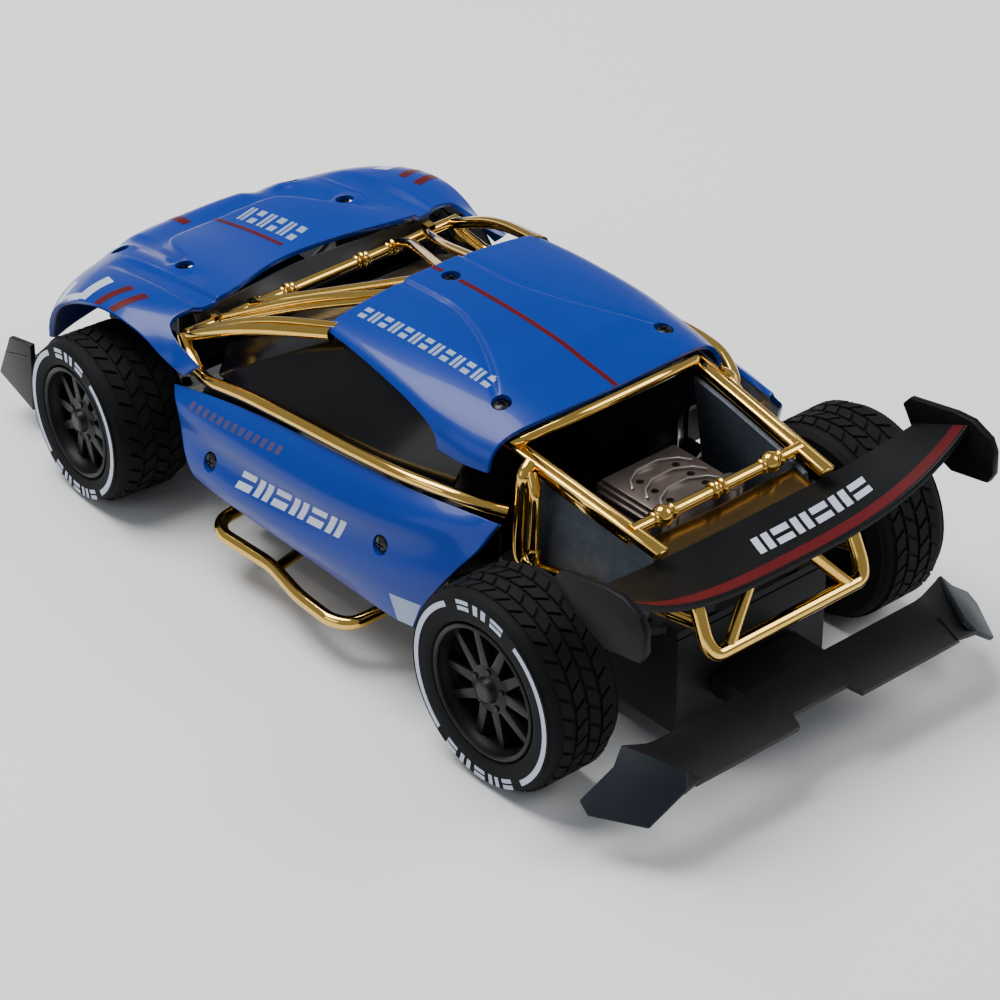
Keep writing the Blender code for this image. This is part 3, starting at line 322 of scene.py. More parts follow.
def addDrum(bm, start, end, radius, steps=20, chamfer=0.25):
    # a short round bar with softened rims
    base, run = Vector(start), Vector(end) - Vector(start)
    length = run.length
    turn = Matrix.Translation(base * mm) @ run.to_track_quat("Z", "Y").to_matrix().to_4x4()
    soft = min(chamfer, radius * 0.4, length * 0.3)
    profile = [(0, 0), (radius - soft, 0), (radius, soft), (radius, length - soft),
               (radius - soft, length), (0, length)]
    addLathe(bm, profile, steps, turn, closed=False)


def facingMesh(bm, outward):
    # the finished mesh, with its faces turned the way that outward points
    bm.normal_update()
    facing = sum((face.normal * face.calc_area() for face in bm.faces), Vector())
    if facing.dot(Vector(outward)) < 0:
        bmesh.ops.reverse_faces(bm, faces=bm.faces)
    mesh = bpy.data.meshes.new("skin")
    bm.to_mesh(mesh)
    bm.free()
    return mesh


def flatSkin(patches, outward):
    # rows of points become one open skin of flat faces
    bm = bmesh.new()
    for rows in patches:
        grid = [[bm.verts.new(at(*point)) for point in row] for row in rows]
        for first, second in zip(grid, grid[1:]):
            for column in range(len(first) - 1):
                bm.faces.new((first[column], first[column + 1], second[column + 1], second[column]))
    bmesh.ops.remove_doubles(bm, verts=bm.verts, dist=1e-6)
    return facingMesh(bm, outward)


def panelSurface(patches, outward, mirrored, levels):
    # rows of points become one smooth skin, still without thickness
    def add(holder):
        if mirrored:
            addMirror(holder)
        soft = holder.modifiers.new("soft", "SUBSURF")
        soft.levels = levels
        soft.render_levels = levels
        soft.boundary_smooth = "PRESERVE_CORNERS"
    return bakeModifiers(flatSkin(patches, outward), add)


def carve(mesh, offset):
    # moves each point along its normal by what offset says, all in millimetres
    shifts = [vert.normal * offset(*(vert.co / mm)) * mm for vert in mesh.vertices]
    for vert, shift in zip(mesh.vertices, shifts):
        vert.co += shift


def thicken(mesh, wall, edge, angle=55, segments=2, mirrored=False, even=True):
    # gives a skin its wall, inwards, and rounds the edges
    def add(holder):
        if mirrored:
            addMirror(holder)
        solid = holder.modifiers.new("wall", "SOLIDIFY")
        solid.thickness = wall * mm
        solid.offset = -1.0
        solid.use_even_offset = even
        addBevel(holder, edge, angle, segments)
    return bakeModifiers(mesh, add)


def smoothStep(low, high, value):
    share = min(1.0, max(0.0, (value - low) / (high - low)))
    return share * share * (3 - 2 * share)


def printOn(name, host, quads, into, finish, lift=0.05, cell=1.0):
    # a printed mark: flat quads laid onto a curved panel, following its surface
    tree = BVHTree.FromPolygons([v.co for v in host.data.vertices],
                                [list(p.vertices) for p in host.data.polygons])
    way = Vector(into).normalized()
    bm = bmesh.new()
    for quad in quads:
        corners = [Vector(corner) * mm for corner in quad]
        across = max(1, round((corners[1] - corners[0]).length / (cell * mm)))
        along = max(1, round((corners[3] - corners[0]).length / (cell * mm)))
        grid = []
        for row in range(along + 1):
            line = []
            for column in range(across + 1):
                low = corners[0].lerp(corners[1], column / across)
                high = corners[3].lerp(corners[2], column / across)
                spot = low.lerp(high, row / along)
                hit, normal, _, _ = tree.ray_cast(spot - way * 0.02, way)
                if hit is not None and normal.dot(way) > 0:
                    normal = -normal
                line.append(bm.verts.new(hit + normal * lift * mm) if hit is not None else None)
            grid.append(line)
        for first, second in zip(grid, grid[1:]):
            for column in range(across):
                patch = (first[column], first[column + 1], second[column + 1], second[column])
                if all(patch):
                    bm.faces.new(patch)
    loose = [v for v in bm.verts if not v.link_faces]
    bmesh.ops.delete(bm, geom=loose, context="VERTS")
    bmesh.ops.recalc_face_normals(bm, faces=bm.faces)
    addPiece(name, facingMesh(bm, -way), finish, angle=60)


def slantBars(start, end, up, count, fill=0.62, slant=0.25, notch=True):
    # a row of slanted blocks between two points, each with a notch cut from it, as an abstract racing mark
    origin, run, rise = Vector(start), Vector(end) - Vector(start), Vector(up)
    step = run / count
    quads = []
    for number in range(count):
        base = origin + step * number
        lean = step.normalized() * rise.length * slant
        wide = step * fill

        def block(a0, a1, b0, b1):
            quads.append([base + wide * a0 + rise * b0 + lean * b0,
                          base + wide * a1 + rise * b0 + lean * b0,
                          base + wide * a1 + rise * b1 + lean * b1, base + wide * a0 + rise * b1 + lean * b1])
        if not notch:
            block(0, 1, 0, 1)
        elif number % 2 == 0:
            block(0, 1, 0, 0.38)
            block(0, 1, 0.62, 1)
        else:
            block(0, 0.4, 0, 1)
            block(0.6, 1, 0, 1)
    return quads


# ---- screws

screwLook = dict(headRadius=2.2, domeRise=0.55, length=4.2, crossWidth=0.55, crossReach=1.35,
                 crossDepth=0.7)


def makeScrewMesh():
    head, rise = screwLook["headRadius"], screwLook["domeRise"]
    profile = [(0, rise), (head * 0.45, rise * 0.9), (head * 0.8, rise * 0.45), (head, -0.1), (head, -0.7),
               (1.0, -0.9), (1.0, -screwLook["length"]), (0, -screwLook["length"])]
    bm = bmesh.new()
    addLathe(bm, profile, 28, closed=False)
    mesh = meshFrom(bm, "screw")
    width, reach, depth = screwLook["crossWidth"] / 2, screwLook["crossReach"], screwLook["crossDepth"]
    cross = bmesh.new()
    outline = [(width, width), (width, reach), (-width, reach), (-width, width), (-reach, width),
               (-reach, -width),
               (-width, -width), (-width, -reach), (width, -reach), (width, -width), (reach,
                                                                                      -width), (reach,
                                                                                                width)]
    addPrism(cross, outline, "Z", rise - depth, rise + 1)
    return cutAway(mesh, meshFrom(cross, "cross"))


screwMesh = makeScrewMesh()


def addScrew(node, into):
    low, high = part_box(node)
    way = Vector(into)
    top = (low + high) / 2 - way * abs((high - low).dot(way)) / 2
    place = Matrix.Translation(top) @ (-way).to_track_quat("Z", "Y").to_matrix().to_4x4()
    piece = addPiece(node + "_cross_head", screwMesh.copy(), "blackZinc", place=place)
    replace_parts(piece, node)


def screwHoles(nodes, into, radius=2.6):
    # one cutter with a round hole for every screw of a panel
    bm = bmesh.new()
    for node in nodes:
        low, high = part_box(node)
        middle = (low + high) / 2 / mm
        way = Vector(into)
        addDrum(bm, middle - way * 9, middle + way * 9, radius, 24, 0.01)
    return meshFrom(bm, "holes")


hoodScrews = [f"hood_screw_{number}" for number in (1, 2, 3, 4)]
roofScrews = [f"roof_screw_{number}" for number in (1, 2, 3)]
for node in hoodScrews + roofScrews:
    addScrew(node, (0, 0, -1))
for sideName, side in sides:
    for number in (1, 2):
        addScrew(f"side_screw_{sideName}_{number}", (-side, 0, 0))
addScrew("battery_screw", (0, 0, 1))
print("screws done")

# ---- hood

hoodLook = dict(wall=1.3, edge=0.35, domeDrop=2.6, domeFade=16.0, sideEase=1.8, channelDepth=1.1)


def hoodRows():
    return [
        [(0, -130, 25), (13, -130, 25), (24, -128.5, 25.5), (33, -126, 26), (43, -121.5, 27.5),
         (49.5, -116.8, 29), (51.5, -114.8, 31)],
        [(0, -131.5, 37), (13, -131, 37), (24, -128.5, 37.5), (33, -124, 38), (43, -119, 39),
         (50, -115.5, 38.5), (52.2, -113.7, 36.5)],
        [(0, -126, 46), (13, -124.5, 47), (24, -119, 49.5), (33, -113.5, 50.3), (43, -111.5, 50),
         (50.5, -110.5, 46), (53.5, -109, 43.5)],
        [(0, -113, 50.3), (13, -112, 52), (24, -108, 54), (33, -104, 54.3), (43.5, -102.5, 55),
         (51.5, -101.5, 52.5), (55.3, -101.5, 49.5)],
        [(0, -100, 53), (13, -100, 54.8), (24, -97, 56.3), (33, -95, 56), (43.5, -93.5, 57.7),
         (52, -93.5, 56.3), (56, -93, 54)],
        [(0, -90, 54.8), (13, -89, 56.6), (24, -86, 58), (33, -84, 57.6), (43.5, -83.5, 59.5),
         (52, -83.5, 58.8), (56, -83.5, 56.7)],
        [(0, -80, 56), (13, -77, 58), (24, -73, 59.8), (33, -73, 59), (43, -73, 60), (51.5, -73.5, 59.4),
         (56, -74, 57.3)],
        [(0, -72.5, 56.7), (13, -68.5, 58.5), (24, -62, 61), (33, -60.5, 60.8), (42, -62.5, 59.5),
         (49.5, -64, 58.2), (55.3, -65, 55.7)],
    ]


def domeFront(x):
    # where the raised middle of the hood starts: an arch across the nose that sweeps back along both sides
    return -107.5 + 0.0115 * x * x + 26.0 * smoothStep(17, 31, abs(x))


hoodScrewSpots = [sum(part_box(node), Vector()) / 2 / mm for node in hoodScrews]


def hoodCarving(x, y, z):
    # the hood drops ahead of its raised middle and fades out towards the nose
    ahead = (domeFront(x) - y) / (1 + hoodLook["sideEase"] * smoothStep(17, 25, abs(x)))
    drop = 0.0
    if z > 40 and abs(x) < 33:
        drop = smoothStep(-1.2, 2.6, ahead) * (1 - smoothStep(3.0, hoodLook["domeFade"], ahead))
        drop *= 1 - 0.85 * smoothStep(22, 32, abs(x))
        drop *= smoothStep(2.6, 6.5, min(math.hypot(x - spot.x, y - spot.y) for spot in hoodScrewSpots))
    channel = 0.0
    if y > -104:
        across = smoothStep(33.5, 35.0, abs(x)) * (1 - smoothStep(38.0, 41.5, abs(x)))
        channel = across * smoothStep(-104, -92, y)
    return -hoodLook["domeDrop"] * drop - hoodLook["channelDepth"] * channel


def makeHood():
    rows = hoodRows()
    tail = [rows[-1][5:], [(51, -55, 54.8), (54.8, -57.5, 51.4)], [(53, -45.5, 54), (54, -50, 49.6)]]
    skin = panelSurface([rows, tail], (0, -0.2, 1), True, 4)
    carve(skin, hoodCarving)
    shell = thicken(skin, hoodLook["wall"], hoodLook["edge"])
    shell = cutAway(shell, screwHoles(hoodScrews, (0, 0, -1)))
    hood = addPiece("hood_panel", shell, "bluePaint", angle=38)
    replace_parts(hood, "hood_shell")
    down = (0, 0, -1)
    half, length = 0.7, 8.2
    stripe = [[(-half, y, 60), (half, y, 60), (half, y + length, 60), (-half, y + length, 60)]
              for y in (-109.5, -101.3, -93.1, -84.9)]
    printOn("hood_centre_stripe", hood, stripe, down, "redPrint")
    marks = slantBars((-3.2, -76.8, 60), (-3.2, -103, 60), (-7.0, 0, 0), 6, slant=0.2)
    printOn("hood_block_mark", hood, marks, down, "greyPrint")
    nose = [[(1.5, -128, 44), (4.5, -128, 44), (4.5, -114.5, 44), (1.5, -114.5, 44)]]
    printOn("nose_mark", hood, nose, (0, 0.25, -1), "redPrint")
    for sideName, side in sides:
        slashes = []
        for y in (-85.8, -79.4):
            quad = [(46.0, y + 2.6, 62), (46.4, y + 5.4, 62), (57.5, y + 1.6, 62), (57.5, y - 1.2, 62)]
            slashes.append(sided(quad, side))
        printOn("fender_slashes_" + sideName, hood, slashes, down, "redPrint")
        bracket = [[(45.5, -93.5, 62), (47.0, -89.0, 62), (57, -91.0, 62), (57, -95.5, 62)],
                   [(53.2, -105.0, 62), (56.2, -104.0, 62), (56.6, -93.5, 62), (53.4, -94.0, 62)],
                   [(47.2, -107.0, 62), (48.8, -103.4, 62), (56, -102.6, 62), (56, -106.0, 62)]]
        printOn("fender_bracket_" + sideName, hood, [sided(quad, side) for quad in bracket], down,
                "whitePrint")


makeHood()
print("hood done")

# ---- roof

roofLook = dict(wall=1.3, edge=0.35, stepHeight=0.55)


def roofCrease(y):
    # the crease leaves the front edge near the middle and sweeps out to the rear screws
    share = min(1.0, max(0.0, (y - 4.0) / 44.0))
    return 9.4 + 20.5 * share ** 1.55


def roofCarving(x, y, z):
    if y > 46.5 or z < 70:
        return 0.0
    inside = roofCrease(y) - abs(x)
    fade = 1 - smoothStep(36, 46, y)
    valley = math.exp(-((inside + 0.9) / 1.1) ** 2)
    return fade * (roofLook["stepHeight"] * smoothStep(-0.6, 0.9, inside) - 0.35 * valley)


def makeRoof():
    rows = [
        [(0, -13.7, 77.1), (9.5, -13.4, 77.5), (20, -13.5, 76.6), (29, -13.3, 75.6), (34.6, -13, 74.6),
         (35.8, -12.8, 73.2)],
        [(0, 0, 78.0), (10, 0, 78.2), (20, 0, 77.6), (29, 0, 76.6), (35.8, 0, 75), (37.2, 0, 73.4)],
        [(0, 15, 78.2), (13, 15, 78.4), (22, 15, 77.6), (30, 15, 76.5), (37, 15, 74.4), (38.6, 15, 72.2)],
        [(0, 28, 77.8), (16, 28, 77.8), (24, 28, 77), (31, 28, 75.8), (38, 27, 73.2), (39.8, 27, 70.6)],
        [(0, 39, 77), (19, 39, 76.9), (26, 39, 76), (32.5, 38, 74.6), (38.5, 36.5, 71.4), (40.8, 36, 68)],
        [(0, 49, 75.8), (21, 48.5, 75.8), (27, 48, 74.9), (32.5, 47, 73.3), (37.5, 46, 70.5),
         (40.2, 46, 67.5)],
        [(0, 57, 74.6), (15, 56.5, 74.5), (25, 55.5, 74), (31, 54, 72.8), (35.5, 53, 70.6),
         (38.4, 53.2, 67.5)],
    ]
    blade = [[rows[4][5], (41.5, 37, 64)], [rows[5][5], (41.2, 46, 63.6)], [rows[6][5], (39.3, 53.5, 64)]]
    skin = panelSurface([rows, blade], (0, 0, 1), True, 4)
    carve(skin, roofCarving)
    shell = thicken(skin, roofLook["wall"], roofLook["edge"])
    shell = cutAway(shell, screwHoles(roofScrews, (0, 0, -1)))
    roof = addPiece("roof_skin", shell, "bluePaint", angle=38)
    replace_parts(roof, "roof_panel")
    down = (0, 0, -1)
    half = 0.75
    gapFront, gapRear = -9.6, -2.8
    stretches = [(-13.4, gapFront), (gapRear, 12.0), (12.0, 27.0), (27.0, 42.0), (42.0, 56.6)]
    stripe = [[(-half, low, 82), (half, low, 82), (half, high, 82), (-half, high, 82)] for low,
              high in stretches]
    printOn("roof_centre_stripe", roof, stripe, down, "redPrint")
    marks = slantBars((28.4, -9.5, 80), (26.2, 39.5, 80), (-4.4, 0, 0), 13, fill=0.66, slant=-0.15)
    printOn("roof_block_mark", roof, marks, down, "greyPrint", cell=0.8)


makeRoof()
print("roof done")

# ---- side panels

sideLook = dict(wall=1.5, edge=0.35, grooveDepth=0.5)


def sideRows():
    return [
        [(54, -54, 45.4), (52.6, -41, 47.6), (52.2, -19, 51.5), (52.2, 12, 54.8), (51, 38.5, 56.8),
         (47.4, 56.7, 57.6), (46, 65.5, 58)],
        [(56.2, -51.5, 43.5), (56.5, -40, 46), (57, -19, 48.5), (57.5, 12, 50.5), (55.8, 38, 53),
         (51.5, 56, 55.2), (48.2, 64, 54.6)],
        [(57.6, -47.8, 40), (59, -38, 41), (60.5, -19, 42.5), (61, 12, 44.8), (58.6, 36, 47.5),
         (54, 54, 50.5), (51.6, 64, 51.6)],
        [(57, -48, 36.3), (57.4, -38, 36.4), (57.8, -19, 37), (58.2, 12, 39.8), (58.2, 33, 43),
         (56.5, 50, 45), (55.2, 59.8, 46)],
        [(59.3, -44, 31), (60.6, -36, 31.6), (61.5, -19, 32.2), (61.8, 12, 33.4), (61.4, 33, 36.4),
         (59.6, 47, 38.4), (58, 56, 39.2)],
        [(60, -41, 28), (61, -33, 28.4), (61.6, -15, 28.8), (61.8, 12, 29.2), (61.5, 33, 30.6),
         (60.5, 43, 31.6), (59.6, 52, 33)],
        [(59.6, -39.5, 26), (60, -30, 25.2), (60, -12, 25), (60, 12, 24.8), (60, 33, 24.4),
         (60, 42.5, 24.4), (60, 49.5, 25.7)],
    ]


def makeSidePanels():
    for sideName, side in sides:
        skin = panelSurface([[sided(row, side) for row in sideRows()]], (side, 0, 0), False, 4)
        shell = thicken(skin, sideLook["wall"], sideLook["edge"])
        holes = screwHoles([f"side_screw_{sideName}_{number}" for number in (1, 2)], (-side, 0, 0))
        shell = cutAway(shell, holes)
        panel = addPiece("side_skin_" + sideName, shell, "bluePaint", angle=38)
        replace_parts(panel, "side_panel_" + sideName)
        into = (-side, 0, 0)
        big = slantBars((64, -20.6, 32.6), (64, 22.5, 37.8), (0, 0.4, 5.0), 6, fill=0.8, slant=0.3)
        printOn("side_big_mark_" + sideName, panel, [sided(quad, side) for quad in big], into, "whitePrint")
        small = slantBars((64, -44.4, 43.4), (64, -4.6, 48.2), (0, 0, 1.9), 13, fill=0.62, slant=0.2,
                          notch=False)
        printOn("side_small_mark_" + sideName, panel, [sided(quad, side) for quad in small], into,
                "darkPrint", cell=0.6)
        patch = [[(64, 41.0, 31.8), (64, 51.8, 33.2), (64, 49.4, 26.0), (64, 43.6, 24.8)]]
        printOn("side_rear_patch_" + sideName, panel, [sided(quad, side) for quad in patch], into,
                "greyPrint")


makeSidePanels()
print("side panels done")

# ---- cabin, windows and cowl

cabinLook = dict(wall=1.4, edge=0.5, screenLift=0.35)


def makeCabin():
    levels = [
        [(0, -48, 32.4), (30, -48, 32.4), (42, -40, 32.4), (42, 0, 32.4), (42, 38, 32.4), (30, 48, 32.4),
         (0, 48, 32.4)],
        [(0, -48, 46), (30, -48, 46), (42, -40, 46), (42, 0, 46.6), (42, 38, 47), (30, 48, 47),
         (0, 48, 47)],
        [(0, -55, 50.5), (36, -54.5, 50.5), (46, -46, 48.6), (49.2, -15, 51.4), (48.6, 20, 54.6),
         (42.4, 44, 56.4), (0, 49.5, 56)],
        [(0, -13, 73.4), (27, -12.5, 72.2), (33.2, -10.5, 71), (35.2, 8, 71.8), (36.4, 27, 69.4),
         (36.0, 45, 67.0), (0, 51.5, 68.6)],
        [(0, -9, 73.2), (25, -8.5, 72.0), (30, -6.5, 71.4), (32, 8, 71.8), (33, 26, 69.8),
         (31.5, 40, 68.2), (0, 45.5, 69.6)],
    ]
    glass = thicken(flatSkin([levels], (0, 0, 1)), cabinLook["wall"], cabinLook["edge"], 20, 3, True, False)
    cabin = addPiece("cabin_windows", glass, "glossBlack")
    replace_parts(cabin, "cabin_shell")
    low, high = levels[2], levels[3]
    lift = cabinLook["screenLift"]
    rows = []
    for share in (0.08, 0.36, 0.64, 0.92):
        row = []
        for column in (0, 1):
            point = Vector(low[column]).lerp(Vector(high[column]), share) + Vector((0, -0.5, 0.9)) * lift
            row.append(tuple(point))
        middle = Vector(row[0]).lerp(Vector(row[1]), 0.93)
        rows.append([row[0], tuple(Vector(row[0]).lerp(middle, 0.5)), tuple(middle)])
    screen = thicken(panelSurface([rows], (0, -0.5, 1), True, 1), 0.3, 0.1)
    addPiece("windscreen", screen, "smokedScreen")


def makeCowl():
    rows = [
        [(0, -71.0, 54.8), (24, -62.6, 58.4), (40, -62.8, 57.0)],
        [(0, -63.5, 53.2), (24, -61.8, 53.4), (40, -61.4, 53.2)],
        [(0, -60.8, 51.2), (24, -60.8, 51.0), (40, -60.6, 51.0)],
    ]
    cowl = addPiece("cowl_strip", thicken(panelSurface([rows], (0, 0.3, 1), True, 3), 1.2, 0.25),
                    "blackMoulding")
    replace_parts(cowl, "cowl_vent")


makeCabin()
makeCowl()
print("cabin done")

# ---- gold cage

cageLook = dict(pillar=1.65, pillarRib=1.1, strut=1.3, strutRib=0.95, innerStrut=1.5, crossbar=1.5,
                waist=1.65,
                railWide=2.0, railHigh=1.25, railWeb=5.0, hoop=1.9, bumper=2.0, sideBar=1.9)
crossbarY = -58.5
crossbarZ = 55.4


def makeTubes(name, node, runs, extras=None):
    # runs is a list of (points, radius, bend)
    bm = bmesh.new()
    for points, radius, bend in runs:
        addTube(bm, points, radius, bend)
    if extras:
        extras(bm)
    piece = addPiece(name, meshFrom(bm, name), "goldPlating", angle=45)
    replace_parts(piece, node)


def makeFrontCage():
    runs = [([(-46.5, crossbarY, crossbarZ), (46.5, crossbarY, crossbarZ)], cageLook["crossbar"], 1)]
    for _, side in sides:
        outer = [(45.6, -60.2, 53.8), (42.2, -37, 65.4), (35.6, -11.0, 72.6)]
        upper = [(44.2, -59.8, 54.8), (39.4, -34, 68.4), (33.6, -11.0, 74.2)]
        middle = [(35.2, -58.4, 55.8), (22.5, -38, 65.8), (13.6, -12.0, 75.6)]
        twin = [(35.6, -58.0, 54.8), (24.2, -38, 64.0), (16.0, -12.0, 74.8)]
        inner = [(24.7, crossbarY, 56.2), (23.0, -50, 60.2), (2.9, -12.0, 75.8)]
        runs.append((sided(outer, side), cageLook["pillar"], 14))
        runs.append((sided(upper, side), cageLook["pillarRib"], 14))
        runs.append((sided(middle, side), cageLook["strut"], 12))
        runs.append((sided(twin, side), cageLook["strutRib"], 12))
        runs.append((sided(inner, side), cageLook["innerStrut"], 10))
        drop = [(46.2, -60.0, 54.4), (47.0, -57.4, 51.4), (48.6, -50.4, 48.6)]
        runs.append((sided(drop, side), 1.8, 2))

    def collars(bm):
        for x in (-23.4, -12.6, 12.6, 23.4):
            for shift, radius in ((-1.7, 1.9), (0.0, 2.3), (1.7, 1.9)):
                start, end = x + shift - 0.75, x + shift + 0.75
                addDrum(bm, (start, crossbarY, crossbarZ), (end, crossbarY, crossbarZ), radius, 20, 0.4)
        for x in (-36.5, 36.5):
            addBlock(bm, (x - 1.3, crossbarY - 1.6, crossbarZ - 0.6),
                     (x + 1.3, crossbarY + 1.2, crossbarZ + 2.2))
    makeTubes("front_cage_tubes", "cage_front", runs, collars)


def makeWaistRails():
    for sideName, side in sides:
        path = [(46.8, -58.4, 50.4), (48.8, -50, 48.2), (50.6, -43, 49.4), (51, -28, 52.7),
                (51.2, -6, 55.2),
                (51.2, 14, 57.0), (50.4, 33, 58.6), (48.2, 45, 59.2), (43.4, 54.6, 57.4), (37.9, 58.9,
                                                                                           54.9)]
        makeTubes("waist_tube_" + sideName, "waist_rail_" + sideName,
                  [(sided(path, side), cageLook["waist"], 7)])


frameTop = Vector((30.6, 51.2, 68.6))
frameEnd = Vector((27.5, 104.0, 60.6))


def onFrame(y):
    return frameTop.lerp(frameEnd, (y - frameTop.y) / (frameEnd.y - frameTop.y))


def addRail(bm, start, end, wide, high):
    # a flat-faced bar with raised round edges along both sides
    along = (end - start).normalized()
    across = along.cross(Vector((0, 0, 1))).normalized()
    up = across.cross(along).normalized()
    outline = [(-wide, -high), (wide, -high), (wide, high * 0.7), (wide * 0.55, high),
               (wide * 0.45, high * 0.55),
               (-wide * 0.45, high * 0.55), (-wide * 0.55, high), (-wide, high * 0.7)]
    ends = [[bm.verts.new((spot + across * a + up * b) * mm) for a, b in outline] for spot in (start, end)]
    addSlab(bm, *ends)


def makeRearFrame():
    top = [(-31.4, 51.6, 68.2), (-28.5, 54.6, 69.8), (-15, 57.9, 72.2), (15, 57.9, 72.2),
           (28.5, 54.6, 69.8),
           (31.4, 51.6, 68.2)]
    bar = onFrame(93.0)
    runs = [(top, 1.5, 5), ([(-bar.x, bar.y, bar.z), (bar.x, bar.y, bar.z)], 1.55, 1)]

    def knobs(bm):
        for x in (-17.9, 17.9):
            bmesh.ops.create_uvsphere(bm, u_segments=24, v_segments=14, radius=2.8 * mm,
                                      matrix=Matrix.Translation(at(x, bar.y, bar.z)))
            for shift in (-3.0, 3.0):
                addDrum(bm, (x + shift - 0.7, bar.y, bar.z), (x + shift + 0.7, bar.y, bar.z), 2.05, 20, 0.4)
        for shift in (-1.5, 0.0, 1.5):
            addDrum(bm, (shift - 0.7, bar.y, bar.z), (shift + 0.7, bar.y, bar.z), 2.3 if shift else 1.9,
                    20, 0.4)
    makeTubes("rear_frame_tubes", "cage_rear", runs, knobs)
    rails = bmesh.new()
    for _, side in sides:
        start, end = onFrame(50.6), onFrame(103.6)
        start.x, end.x = start.x * side, end.x * side
        addRail(rails, start, end, cageLook["railWide"], cageLook["railHigh"])
        front, rear = onFrame(54.0), onFrame(92.0)
        edge = [(spot, drop) for spot, drop in ((front, 0.4), (front, cageLook["railWeb"]),
                                                (rear, cageLook["railWeb"]), (rear, 0.4))]
        faces = [[rails.verts.new(at(side * (spot.x - 1.0 + shift), spot.y, spot.z - drop)) for spot,
                  drop in edge]
                 for shift in (0.0, 0.9)]
        addSlab(rails, *faces)
    piece = addPiece("rear_frame_rails", roundEdges(meshFrom(rails, "rails"), 0.4, angle=30),
                     "goldPlating", angle=40)
    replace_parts(piece, "cage_rear")


def makeHoops():
    for sideName, side in sides:
        outer = [(31.6, 60.6, 67.2), (34.6, 61.4, 65.4), (35.2, 60.6, 46), (35.2, 61.2, 41.0),
                 (34.6, 66, 40.6),
                 (33.2, 86.4, 45.0)]
        inner = [(33.0, 62.6, 65.6), (34.4, 65.6, 62), (34.8, 65.6, 44), (34.6, 67, 41)]
        runs = [(sided(outer, side), cageLook["hoop"], 3.5), (sided(inner, side), 1.5, 3)]

        def knuckle(bm):
            addDrum(bm, (side * 34.8, 65.6, 42.8), (side * 34.8, 65.6, 46.4), 2.1, 20, 0.5)
        makeTubes("hoop_tubes_" + sideName, "cage_hoop_" + sideName, runs, knuckle)
    path = [(25.6, 108.8, 52.2), (25.6, 113.4, 50.6), (26, 117.4, 42), (24.6, 119.4, 38.4),
            (-24.6, 119.4, 38.4),
            (-26, 117.4, 42), (-25.6, 113.4, 50.6), (-25.6, 108.8, 52.2)]
    runs = [(path, cageLook["bumper"], 4)]
    for _, side in sides:
        runs.append((sided([(20.5, 119.4, 38.6), (9.9, 115.2, 50.6)], side), 1.6, 1))
        runs.append((sided([(25.4, 99.6, 42.2), (25.8, 115.2, 45.6)], side), 1.7, 1))
    makeTubes("rear_bumper_tubes", "rear_bumper_hoop", runs)


def makeSideBars():
    for sideName, side in sides:
        outer = [(44.8, -33.5, 15.2), (55.4, -34.4, 13.4), (59.0, -29.6, 13), (58.2, -9.6, 13),
                 (61.6, 6, 13),
                 (62.2, 19.6, 13), (59.4, 24.6, 13), (44.8, 27.4, 15.2)]
        leg = [(44.8, -8.6, 15), (58.4, -7.4, 13)]
        runs = [(sided(outer, side), cageLook["sideBar"], 4), (sided(leg, side), 1.5, 1)]
        makeTubes("side_tube_" + sideName, "side_bar_" + sideName, runs)


makeFrontCage()
makeWaistRails()
makeRearFrame()
makeHoops()
makeSideBars()
print("gold cage done")

# ---- rear bodywork


def makeQuarterPanels():
    for sideName, side in sides:
        top = [(28.6, 55.5, 65.6), (28.2, 67, 64.0), (27.0, 90, 60.0), (25.9, 98.4, 58.6)]
        low = [(32.6, 55.5, 38.6), (32.6, 67, 38.6), (31, 90, 38.6), (26.6, 98.4, 38.6)]
        mesh = flatSkin([[sided(top, side), sided(low, side)]], (side, 0, 0))
        # the black quarter panel gets a slate colour as painted sheen, over a real grain
        panel = addPiece("quarter_skin_" + sideName, thicken(mesh, 1.4, 0.3), "paintedSheenGrain", angle=20)
        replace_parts(panel, "quarter_panel_" + sideName)


engineLook = dict(louvres=3, firstLouvre=68.0, louvrePitch=5.4, deckTop=56.5, louvreTop=57.3)


def makeEngine():
    bm = bmesh.new()
    addBlock(bm, (-13, 64, 38.6), (13, 86, 55.2))
    for x in (-11, 11):
        addDrum(bm, (x, 86.5, 38.7), (x, 86.5, 56.6), 3.6, 28, 0.5)
        addDrum(bm, (x, 86.5, 56.4), (x, 86.5, 57.6), 2.6, 24, 0.4)
    for number in range(5):
        z = 41.5 + 2.8 * number
        addBlock(bm, (-13.8, 65.5, z), (13.8, 84.0, z + 1.1))
    block = roundEdges(meshFrom(bm, "engine"), 0.3)
    cover = bmesh.new()
    addBlock(cover, (-12.2, 65, 55.0), (12.2, 85.6, engineLook["deckTop"]))
    holes = bmesh.new()
    edges = bmesh.new()
    for number in range(engineLook["louvres"]):
        y = engineLook["firstLouvre"] + engineLook["louvrePitch"] * number
        half = [(3.6, y), (8.2, y + 2.4), (10.4, y + 5.8), (9.8, y + 6.2), (7.8, y + 3.1), (3.4, y + 0.7)]
        outline = half + [(-x, v) for x, v in reversed(half)]
        addPrism(edges, outline, "Z", engineLook["deckTop"] - 0.3, engineLook["louvreTop"])
        for x, shift in ((-6.0, 4.2), (6.0, 4.2)):
            addDrum(holes, (x, y + shift, 55.4), (x, y + shift, 60), 1.1, 16, 0.01)
    engine = addPiece("engine_dummy", block, "gunmetal")
    deck = cutAway(roundEdges(meshFrom(cover, "deck"), 0.3), meshFrom(holes, "holes"))
    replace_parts(addPiece("engine_deck", deck, "gunmetal"), "engine_block")
    # the louvre ridges get a pale metal as painted highlight
    louvres = addPiece("engine_louvres", roundEdges(meshFrom(edges, "louvres"), 0.25), "paintedHighlightMetal")
    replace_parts(engine, "engine_block")
    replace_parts(louvres, "engine_block")


